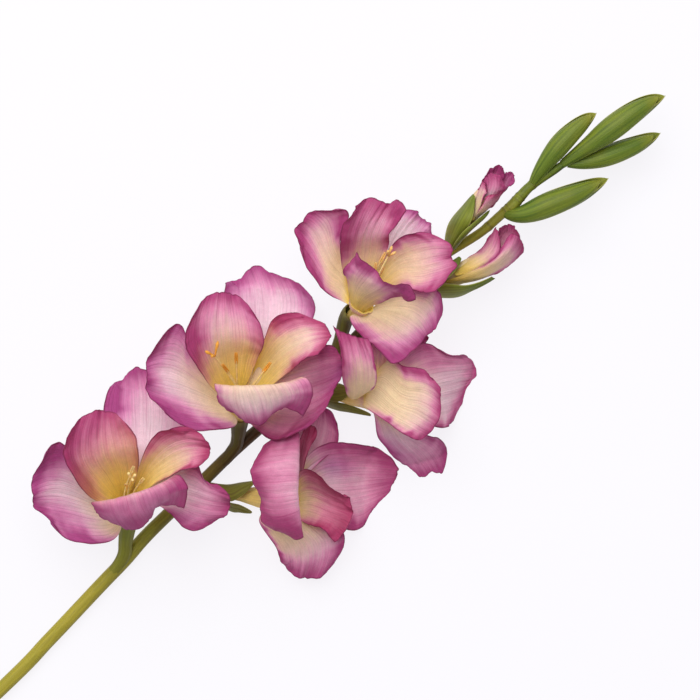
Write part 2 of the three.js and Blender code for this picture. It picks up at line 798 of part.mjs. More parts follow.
// A spathe leaves the stem's line and opens into a cup round the foot of the bloom's tube.
const cupWall = 0.7;
const cupFloor = 0.76;
function spatheCup({ line, radii }) {
  const points = line.map(at);
  const last = radii.length - 1;
  const profile = [
    [0, 0],
    ...radii.map((radius, k) => [k / last, radius]),
    [1, radii[last] - cupWall],
    [0.86, radii[last - 1] - cupWall],
    [cupFloor, 2.6],
    [cupFloor, 0],
  ];
  return turned((share) => along(points, share), profile, 8);
}

function bract(net) {
  return blade(patchGrid(net, 6, 4), bractThickness);
}

// What clasps a bloom's tube: a spathe, or two bracts that grow out of the stem.
function clasp(bloom) {
  return bloom.spathe ? [spatheCup(bloom.spathe)] : bloom.bracts.map(bract);
}

// A blade that wraps round a curve. It starts and ends at shares of the curve and keeps a radius from it,
// with one edge further out than the other by a slant. It spans an angle either way of the direction that
// it faces, which narrows to a tip: a higher number for pointed makes that tip blunter.
function wrapGrid(curve, { from, to, swell, facing, spread, rows, columns, pointed, slant }) {
  return Array.from({ length: rows + 1 }, (_, i) => {
    const t = i / rows;
    const share = from + (to - from) * t;
    const { side, rise } = frameAt(curve, share);
    const radius = (x) => swell(t) + slant * x;
    const half = spread * (1 - t ** pointed) ** 0.7 + 5;
    return Array.from({ length: columns + 1 }, (__, j) => {
      const x = (2 * j) / columns - 1;
      const angle = THREE.MathUtils.degToRad(facing + half * x);
      const across = side.clone().multiplyScalar(radius(x) * Math.cos(angle));
      return curve(share).add(across).addScaledVector(rise, radius(x) * Math.sin(angle));
    });
  });
}

function curveOf(line) {
  const points = line.map(at);
  return (share) => along(points, share);
}

// Tepals rolled round the bud's heart.
function openingBud({ line, heart, tepals }) {
  const rolled = tepals.map((net) => blade(patchGrid(net, 5, 4), petalThickness));
  return fuse([turned(curveOf(line), heart, 8), ...rolled]);
}

// A bud still shut in its two bracts, which lap over each other.
function greenBud({ line, radius }) {
  const curve = curveOf(line);
  const profile = [[0, 0], [0, 0.12], [0.1, 0.3], [0.25, 0.62], [0.5, 0.7], [0.8, 0.3], [0.86, 0]];
  const core = turned(curve, profile.map(([share, size]) => [share, size * radius]), 6);
  const swell = (t) => radius * throughThree([0.26, 1, 0.2], t ** 1.2);
  const shape = { rows: 5, columns: 4, pointed: 4, slant: 0.7 };
  const outer = wrapGrid(curve, { ...shape, from: 0.03, to: 0.93, swell, facing: 60, spread: 100 });
  const inner = wrapGrid(curve, { ...shape, from: 0.05, to: 1, swell, facing: -120, spread: 100 });
  return fuse([core, blade(outer, bractThickness), blade(inner, bractThickness)]);
}

// The stamens and the three-armed style of a bloom, on a knob at the bottom of its tube.
function stamens(bloom) {
  const { centre, axis, top, right } = throatOf(bloom);
  const seat = (depth, clock, radius) =>
    centre
      .clone()
      .addScaledVector(axis, depth)
      .addScaledVector(top, radius * Math.cos(clock))
      .addScaledVector(right, radius * Math.sin(clock));
  const { foot, knobRadius, bend, spread, styleBend, styleSpread } = bloom.threads ?? longThreads;
  const knobLine = (share) => seat(foot - 1 + 2 * share, 0, 0);
  const knob = turned(knobLine, [[0, 0], [0, knobRadius], [1, knobRadius], [1, 0]], 6);
  const pieces = [knob];
  bloom.anthers.forEach((tip, k) => {
    const clock = ((k - 1) * Math.PI) / 2.2;
    const points = [seat(foot, clock, 0.8), seat(bend, clock, spread), at(tip)];
    const profile = [[0, 0], [0, 0.6], [0.76, 0.5], [0.85, 1], [1, 0]];
    pieces.push(turned((share) => along(points, share), profile, 4));
  });
  const [left, middle, rightTip] = bloom.stigmas.map(at);
  const fork = mix([left, middle, rightTip], [1 / 3, 1 / 3, 1 / 3]).lerp(centre, 0.12);
  const stylePoints = [seat(foot, Math.PI, 0.6), seat(styleBend, Math.PI, styleSpread), fork];
  const styleProfile = [[0, 0], [0, 0.6], [0.5, 0.6], [1, 0.6], [1, 0]];
  pieces.push(turned((share) => along(stylePoints, share), styleProfile, 4));
  const style = stylePoints[2].clone().lerp(stylePoints[1], 0.03);
  [left, middle, rightTip].forEach((tip) => {
    const arm = [style, tip];
    pieces.push(turned((share) => along(arm, share), [[0, 0], [0.02, 0.5], [0.7, 0.8], [1, 0]], 4));
  });
  return fuse(pieces);
}

function nodeFrom(name, solid, look) {
  const { numProp, vertProperties, triVerts } = solid.getMesh();
  const geometry = new THREE.BufferGeometry();
  const points = new THREE.InterleavedBuffer(vertProperties, numProp);
  geometry.setAttribute("position", new THREE.InterleavedBufferAttribute(points, 3, 0));
  geometry.setIndex(new THREE.BufferAttribute(triVerts, 1));
  geometry.computeVertexNormals();
  const mesh = new THREE.Mesh(geometry, new THREE.MeshStandardMaterial(look));
  mesh.name = name;
  return mesh;
}

const flower = new THREE.Group();
const add = (name, solid, look) => flower.add(nodeFrom(name, solid, look));
const stemClear = stemBody(clearance);
const budBracts = openingBuds.flatMap((bud) => bud.bracts.map(bract));
const greens = [stemBody(0), ...blooms.flatMap(clasp), ...budBracts];
add("stem", fuse(greens), stemGreen);
blooms.forEach((bloom, k) => {
  const place = throatOf(bloom);
  const blades = bloom.tepals.map((tepal) => blade(tepalGrid(place, tepal), petalThickness));
  add(`bloom_${k + 1}`, fuse([tube(bloom), ...blades]).subtract(stemClear), petalPink);
  add(`stamens_${k + 1}`, stamens(bloom), antherYellow);
});
openingBuds.forEach((bud, k) => add(`opening_bud_${k + 1}`, openingBud(bud).subtract(stemClear), budPink));
greenBuds.forEach((bud, k) => add(`green_bud_${k + 1}`, greenBud(bud).subtract(stemClear), budGreen));

export default flower;
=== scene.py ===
# A cut gladiolus spike on a pale table, seen from straight above.
import math

import bpy
import numpy as np
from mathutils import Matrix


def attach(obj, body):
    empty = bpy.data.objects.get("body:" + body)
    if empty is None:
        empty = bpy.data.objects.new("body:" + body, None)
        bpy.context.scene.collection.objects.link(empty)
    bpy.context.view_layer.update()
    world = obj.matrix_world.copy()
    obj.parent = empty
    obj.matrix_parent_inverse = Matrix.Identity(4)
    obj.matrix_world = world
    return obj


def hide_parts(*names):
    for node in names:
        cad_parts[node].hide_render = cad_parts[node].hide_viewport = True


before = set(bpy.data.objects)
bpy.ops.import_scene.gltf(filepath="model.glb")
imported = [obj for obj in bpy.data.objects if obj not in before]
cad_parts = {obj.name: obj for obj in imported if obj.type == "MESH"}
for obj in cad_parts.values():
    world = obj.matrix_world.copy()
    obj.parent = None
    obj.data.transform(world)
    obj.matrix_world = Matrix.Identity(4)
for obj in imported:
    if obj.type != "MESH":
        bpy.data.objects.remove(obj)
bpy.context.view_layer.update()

print("frame loaded")

# The flower is set out from above on a sheet, in steps of half a millimetre, x to the right and y
# down. A third number is a height above the table in millimetres.
sheet = {
    "step": 0.5,
    "middle": 350,
    "eyeHeight": 1500,
    "height": 20,
    "turn": math.radians(42),
    "shift": (148, 4),
}


def onSheet(points):
    points = np.asarray(points, float)
    height = points[..., 2]
    scale = sheet["step"] * (sheet["eyeHeight"] - height) / (sheet["eyeHeight"] - sheet["height"])
    right = (points[..., 0] - sheet["middle"]) * scale
    up = (sheet["middle"] - points[..., 1]) * scale
    cosine = math.cos(sheet["turn"])
    sine = math.sin(sheet["turn"])
    placed = np.stack(
        [
            cosine * right + sine * up + sheet["shift"][0],
            cosine * up - sine * right + sheet["shift"][1],
            height,
        ],
        axis=-1,
    )
    return placed / 1000


def smoothStep(low, high, value):
    share = np.clip((value - low) / (high - low), 0, 1)
    return share * share * (3 - 2 * share)


# Weights of evenly spaced points on the smooth curve through them, a row for each share of the way.
def curveWeights(count, shares):
    shares = np.asarray(shares, float).ravel()
    last = count - 1
    place = np.clip(shares, 0, 1) * last
    low = np.minimum(np.floor(place).astype(int), last - 1)
    u = place - low
    v = 1 - u
    slopes = np.zeros((count, count))
    if last == 1:
        slopes[:, 0] = -1
        slopes[:, 1] = 1
    else:
        for k in range(1, last):
            slopes[k, k - 1] = -0.5
            slopes[k, k + 1] = 0.5
        slopes[0, :3] = (-1.5, 2, -0.5)
        slopes[last, -3:] = (0.5, -2, 1.5)
    weights = slopes[low] * (u * v * v)[:, None] - slopes[low + 1] * (u * u * v)[:, None]
    rows = np.arange(len(shares))
    weights[rows, low] += v * v * (1 + 2 * u)
    weights[rows, low + 1] += u * u * (3 - 2 * u)
    return weights


def alongCurve(points, shares):
    points = np.asarray(points, float)
    values = curveWeights(len(points), shares) @ points.reshape(len(points), -1)
    return values.reshape(np.shape(shares) + points.shape[1:])


def curveOf(points):
    return lambda shares: alongCurve(points, shares)


# One at the side margins of a blade and nought over most of it.
def sideEdge(u):
    return smoothStep(0.9, 1, np.abs(2 * u - 1))


def unit(vectors):
    length = np.linalg.norm(vectors, axis=-1, keepdims=True)
    return vectors / np.maximum(length, 1e-12)


def selectOnly(*pieces):
    bpy.ops.object.select_all(action="DESELECT")
    for piece in pieces:
        piece.select_set(True)
    bpy.context.view_layer.objects.active = pieces[0]


# A grid primitive whose points are moved to where shape(u, v) puts them. Its own map keeps u and v.
def gridPiece(name, columns, rows, shape):
    bpy.ops.object.select_all(action="DESELECT")
    bpy.ops.mesh.primitive_grid_add(x_subdivisions=columns, y_subdivisions=rows, size=1)
    piece = bpy.context.object
    piece.name = name
    piece.data.name = name
    mesh = piece.data
    flat = np.empty(len(mesh.vertices) * 3)
    mesh.vertices.foreach_get("co", flat)
    flat = flat.reshape(-1, 3)
    u = np.clip(flat[:, 0] + 0.5, 0, 1)
    v = np.clip(flat[:, 1] + 0.5, 0, 1)
    placed = shape(u, v)
    mesh.vertices.foreach_set("co", np.ascontiguousarray(placed).ravel())
    mesh.update()
    return piece, u, v


def paint(piece, name, *channels):
    layer = piece.data.color_attributes.new(name, "FLOAT_COLOR", "POINT")
    colours = np.ones((len(piece.data.vertices), 4))
    for k, channel in enumerate(channels):
        colours[:, k] = channel
    layer.data.foreach_set("color", colours.ravel())


# Both faces of a blade, thinner where body falls to nothing.
def thicken(piece, thickness, body, thinnest):
    modifier = piece.modifiers.new("Thickness", "SOLIDIFY")
    modifier.thickness = thickness
    modifier.offset = 0
    modifier.use_even_offset = False
    group = piece.vertex_groups.new(name="body")
    for index, weight in enumerate(body):
        group.add([index], float(weight), "REPLACE")
    modifier.vertex_group = "body"
    modifier.thickness_vertex_group = thinnest
    selectOnly(piece)
    bpy.ops.object.modifier_apply(modifier=modifier.name)
    piece.vertex_groups.clear()


# Full thickness within a short run of the side and tip margins.
def bodyOf(u, v, sideSlope, tipSlope):
    return np.clip(np.minimum(np.minimum(u, 1 - u) * sideSlope, (1 - v) * tipSlope), 0, 1)


def facesOut(piece):
    selectOnly(piece)
    bpy.ops.object.mode_set(mode="EDIT")
    bpy.ops.mesh.select_all(action="SELECT")
    bpy.ops.mesh.remove_doubles(threshold=1e-7)
    bpy.ops.mesh.normals_make_consistent(inside=False)
    bpy.ops.object.mode_set(mode="OBJECT")


def finishPiece(piece, material, nodes, crease=60):
    facesOut(piece)
    selectOnly(piece)
    bpy.ops.object.shade_smooth_by_angle(angle=math.radians(crease))
    piece.data.materials.clear()
    piece.data.materials.append(material)
    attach(piece, "root")
    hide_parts(*nodes)


def joined(name, pieces):
    selectOnly(*pieces)
    if len(pieces) > 1:
        bpy.ops.object.join()
    piece = bpy.context.view_layer.objects.active
    piece.name = name
    piece.data.name = name
    return piece


def tone(red, green, blue):
    values = [channel / 255 for channel in (red, green, blue)]
    linear = [c / 12.92 if c <= 0.04045 else ((c + 0.055) / 1.055) ** 2.4 for c in values]
    return (*linear, 1)


def addNode(tree, kind, inputs=None, **settings):
    node = tree.nodes.new(kind)
    for key, value in settings.items():
        setattr(node, key, value)
    for key, value in (inputs or {}).items():
        socket = node.inputs[key]
        if isinstance(value, bpy.types.NodeSocket):
            tree.links.new(value, socket)
        else:
            socket.default_value = value
    return node


def calc(tree, operation, first, second=0.0, third=0.0, clamp=False):
    inputs = {0: first, 1: second, 2: third}
    node = addNode(tree, "ShaderNodeMath", inputs, operation=operation, use_clamp=clamp)
    return node.outputs[0]


# A base value and what a pattern swings round its middle, times an amount.
def swing(tree, pattern, amount, base, clamp=False):
    centred = calc(tree, "SUBTRACT", pattern, 0.5)
    return calc(tree, "MULTIPLY_ADD", centred, amount, base, clamp)


# A base value and each pattern times its amount.
def summed(tree, base, *parts):
    for pattern, amount in parts:
        base = calc(tree, "MULTIPLY_ADD", pattern, amount, base)
    return base


def blendColours(tree, share, first, second, kind="MIX"):
    node = addNode(
        tree, "ShaderNodeMix", {0: share, 6: first, 7: second}, data_type="RGBA", blend_type=kind
    )
    return node.outputs[2]


def between(tree, value, low, high, start=0.0, end=1.0):
    node = addNode(
        tree,
        "ShaderNodeMapRange",
        {0: value, 1: low, 2: high, 3: start, 4: end},
        interpolation_type="SMOOTHSTEP",
    )
    return node.outputs[0]


def noiseAt(tree, vector, scale, detail=2.0, roughness=0.5, w=None):
    inputs = {"Vector": vector, "Scale": scale, "Detail": detail, "Roughness": roughness}
    if w is None:
        return addNode(tree, "ShaderNodeTexNoise", inputs).outputs[0]
    inputs["W"] = w
    return addNode(tree, "ShaderNodeTexNoise", inputs, noise_dimensions="4D").outputs[0]


def newMaterial(name, roughness, specular, flesh=0.0, fleshScale=0.002, fleshRadius=(1, 0.4, 0.4)):
    material = bpy.data.materials.new(name)
    material.use_nodes = True
    tree = material.node_tree
    shader = tree.nodes["Principled BSDF"]
    shader.inputs["Roughness"].default_value = roughness
    shader.inputs["Specular IOR Level"].default_value = specular
    shader.inputs["Subsurface Weight"].default_value = flesh
    shader.inputs["Subsurface Radius"].default_value = fleshRadius
    shader.inputs["Subsurface Scale"].default_value = fleshScale
    return material, tree, shader


# The three channels of a colour that paint left on the mesh.
def channelsOf(tree, name):
    colour = addNode(tree, "ShaderNodeAttribute", attribute_name=name).outputs["Color"]
    return addNode(tree, "ShaderNodeSeparateColor", {0: colour}).outputs


# Darkens and lightens a colour by a pattern.
def mottled(tree, colour, pattern, low, high, start=0.25, end=0.75):
    light = between(tree, pattern, start, end, low, high)
    return blendColours(tree, 1.0, colour, light, "MULTIPLY")


def addBump(tree, shader, height, strength, distance):
    inputs = {"Height": height, "Strength": strength, "Distance": distance}
    tree.links.new(addNode(tree, "ShaderNodeBump", inputs).outputs[0], shader.inputs["Normal"])


def surfaceMap(tree):
    axes = addNode(tree, "ShaderNodeSeparateXYZ", {0: addNode(tree, "ShaderNodeUVMap").outputs[0]})
    return axes.outputs[0], axes.outputs[1]


def stretched(tree, u, v, across, lengthwise):
    spread = calc(tree, "MULTIPLY", u, across)
    run = calc(tree, "MULTIPLY", v, lengthwise)
    return addNode(tree, "ShaderNodeCombineXYZ", {0: spread, 1: run}).outputs[0]


def placeShift(tree, amount):
    coordinates = addNode(tree, "ShaderNodeTexCoord").outputs["Object"]
    axes = addNode(tree, "ShaderNodeSeparateXYZ", {0: coordinates})
    total = calc(tree, "ADD", axes.outputs[0], calc(tree, "MULTIPLY", axes.outputs[1], 1.7))
    return coordinates, calc(tree, "MULTIPLY", total, amount)


petalTones = {
    "white": tone(228, 200, 207),
    "mauve": tone(206, 132, 172),
    "mauveDeep": tone(158, 62, 120),
    "rose": tone(206, 122, 146),
    "roseDeep": tone(166, 54, 94),
    "cream": tone(226, 198, 156),
    "gold": tone(230, 196, 84),
    # painted shade in folds and under overlapping tepals
    "shade": tone(106, 24, 50),
    # partly the tepal's own lavender tint, partly painted shade
    "purple": tone(142, 66, 134),
    "rim": tone(104, 26, 62),
}


def petalMaterial(name):
    material, tree, shader = newMaterial(
        name, roughness=0.6, specular=0.25, flesh=0.1, fleshScale=0.002, fleshRadius=(1, 0.5, 0.6)
    )
    u, v = surfaceMap(tree)
    coordinates, shift = placeShift(tree, 9.0)
    pink, gold, cream = channelsOf(tree, "blush")
    warmth, purple, shade = channelsOf(tree, "tintAndShade")
    broad = noiseAt(tree, stretched(tree, u, v, 16, 1.1), 1.0, 3, 0.6, shift)
    fibre = noiseAt(tree, stretched(tree, u, v, 60, 1.6), 1.0, 2, 0.6, shift)
    fine = noiseAt(tree, stretched(tree, u, v, 150, 4.0), 1.0, 2, 0.6, shift)
    blotch = noiseAt(tree, coordinates, 55, 3, 0.55)
    weave = noiseAt(tree, coordinates, 260, 3, 0.65)
    veinWave = swing(tree, broad, 9.0, calc(tree, "MULTIPLY", u, 150.0))
    veins = calc(tree, "MULTIPLY_ADD", calc(tree, "SINE", veinWave), 0.5, 0.5)
    veins = calc(tree, "POWER", veins, 5.0)
    veinLine = calc(tree, "MULTIPLY", veins, between(tree, broad, 0.35, 0.6))
    # the pink runs in along the fibres
    unevenness = calc(tree, "MULTIPLY", calc(tree, "SUBTRACT", broad, 0.5), 0.45)
    unevenness = swing(tree, blotch, 0.5, swing(tree, fibre, 0.3, unevenness))
    pinkEdge = calc(tree, "MULTIPLY", pink, calc(tree, "SUBTRACT", 1.5, pink))
    pinkEdge = calc(tree, "ADD", 0.3, pinkEdge)
    pinkRun = calc(tree, "MULTIPLY_ADD", unevenness, pinkEdge, pink, clamp=True)
    base = blendColours(tree, cream, petalTones["white"], petalTones["cream"])
    middle = blendColours(tree, warmth, petalTones["mauve"], petalTones["rose"])
    deep = blendColours(tree, warmth, petalTones["mauveDeep"], petalTones["roseDeep"])
    colour = blendColours(tree, between(tree, pinkRun, -0.05, 0.6), base, middle)
    colour = blendColours(tree, between(tree, pinkRun, 0.42, 0.98), colour, deep)
    # gold is the tepal's own colour, purple is partly its own tint and partly painted shade, and shade is
    # painted shade
    for share, most, key in ((gold, 0.95, "gold"), (purple, 0.8, "purple"), (shade, 0.85, "shade")):
        colour = blendColours(tree, calc(tree, "MULTIPLY", share, most), colour, petalTones[key])
    veinShare = calc(tree, "MULTIPLY", veinLine, calc(tree, "MULTIPLY_ADD", pink, 0.2, 0.13))
    colour = blendColours(tree, veinShare, colour, deep)
    # a thin darker line along the margin
    side = calc(tree, "MINIMUM", u, calc(tree, "SUBTRACT", 1.0, u))
    end = calc(tree, "MULTIPLY", calc(tree, "SUBTRACT", 1.0, v), 1.3)
    edge = calc(tree, "MINIMUM", side, end)
    rimLine = between(tree, edge, 0.002, 0.02, 1.0, 0.0)
    rimLine = calc(tree, "MULTIPLY", rimLine, between(tree, v, 0.2, 0.5))
    colour = blendColours(tree, calc(tree, "MULTIPLY", rimLine, 0.75), colour, petalTones["rim"])
    grain = noiseAt(tree, coordinates, 1900, 2, 0.7)
    mottles = ((grain, 0.93, 1.05), (fine, 0.92, 1.06), (fibre, 0.9, 1.08), (weave, 0.94, 1.05))
    for pattern, low, high in mottles:
        colour = mottled(tree, colour, pattern, low, high)
    tree.links.new(colour, shader.inputs["Base Color"])
    height = calc(tree, "MULTIPLY", broad, 0.9)
    height = summed(tree, height, (fine, 0.4), (fibre, 0.7), (veinLine, -0.3), (grain, 0.12))
    addBump(tree, shader, height, 0.55, 0.0006)
    tree.links.new(summed(tree, 0.5, (fine, 0.2)), shader.inputs["Roughness"])
    return material


greenTones = {
    "green": tone(104, 122, 34),
    "deepGreen": tone(58, 84, 22),
    "olive": tone(158, 146, 48),
    "brown": tone(70, 48, 18),
    "pale": tone(196, 188, 116),
}


# Waxy green skin with lengthwise streaks. The attribute growth holds olive, brown and pale shares.
def greenMaterial(name, across, lengthwise):
    material, tree, shader = newMaterial(
        name, roughness=0.5, specular=0.25, flesh=0.06, fleshScale=0.0015, fleshRadius=(0.7, 1, 0.3)
    )
    u, v = surfaceMap(tree)
    coordinates, shift = placeShift(tree, 6.0)
    oliveShare, brownShare, paleShare = channelsOf(tree, "growth")
    broad = noiseAt(tree, stretched(tree, u, v, across, lengthwise), 1.0, 3, 0.6, shift)
    fine = noiseAt(tree, stretched(tree, u, v, across * 4, lengthwise * 2.5), 1.0, 2, 0.6, shift)
    blotch = noiseAt(tree, coordinates, 60, 3, 0.55)
    olive = swing(tree, blotch, 0.6, oliveShare, clamp=True)
    brown = swing(tree, broad, 0.5, brownShare)
    brown = calc(tree, "MULTIPLY", brown, between(tree, brownShare, 0.02, 0.2), clamp=True)
    deep = between(tree, broad, 0.35, 0.7)
    colour = greenTones["green"]
    layers = ((deep, "deepGreen"), (olive, "olive"), (brown, "brown"), (paleShare, "pale"))
    for share, key in layers:
        colour = blendColours(tree, share, colour, greenTones[key])
    colour = mottled(tree, colour, fine, 0.82, 1.14, 0.2, 0.8)
    tree.links.new(colour, shader.inputs["Base Color"])
    grain = noiseAt(tree, coordinates, 1500, 2, 0.6)
    height = summed(tree, calc(tree, "ADD", fine, broad), (grain, 0.15))
    addBump(tree, shader, height, 0.45, 0.0005)
    tree.links.new(summed(tree, 0.38, (fine, 0.25)), shader.inputs["Roughness"])
    return material


stamenTones = {
    "filament": tone(236, 214, 150),
    "pollen": tone(226, 150, 40),
    "stigma": tone(236, 158, 36),
}


# Pale filaments with powdery orange anthers and stigmas: the attribute pollen says where.
def stamenMaterial(name):
    material, tree, shader = newMaterial(
        name, roughness=0.7, specular=0.25, flesh=0.2, fleshScale=0.001, fleshRadius=(1, 0.6, 0.2)
    )
    coordinates = addNode(tree, "ShaderNodeTexCoord").outputs["Object"]
    pollen = addNode(tree, "ShaderNodeAttribute", attribute_name="pollen").outputs["Fac"]
    grain = noiseAt(tree, coordinates, 2600, 3, 0.7)
    soft = noiseAt(tree, coordinates, 500, 2, 0.5)
    colour = blendColours(tree, pollen, stamenTones["filament"], stamenTones["pollen"])
    colour = mottled(tree, colour, grain, 0.82, 1.12, 0.3, 0.7)
    colour = mottled(tree, colour, soft, 0.9, 1.08, 0.3, 0.7)
    tree.links.new(colour, shader.inputs["Base Color"])
    addBump(tree, shader, grain, 0.6, 0.0003)
    return material


tepalSkin = petalMaterial("tepalSkin")
stemSkin = greenMaterial("stemSkin", 7, 26)
bractSkin = greenMaterial("bractSkin", 9, 0.9)
budSkin = greenMaterial("budSkin", 8, 0.8)
stamenSkin = stamenMaterial("stamenSkin")
print("materials made")


# A tepal of an open bloom: its place round the throat as a clock angle, then a net of points, in rows
# from the claw to the tip and clockwise in a row. Its look says how far the pink runs in from the left,
# right and tip margins, its even wash of pink, and how far gold and cream run out from the claw.
def openTepal(clock, *net, outer=False, frill=1, corners=1, **look):
    return {
        "clock": clock, "net": net, "outer": outer, "frill": frill, "corners": corners, "look": look,
    }


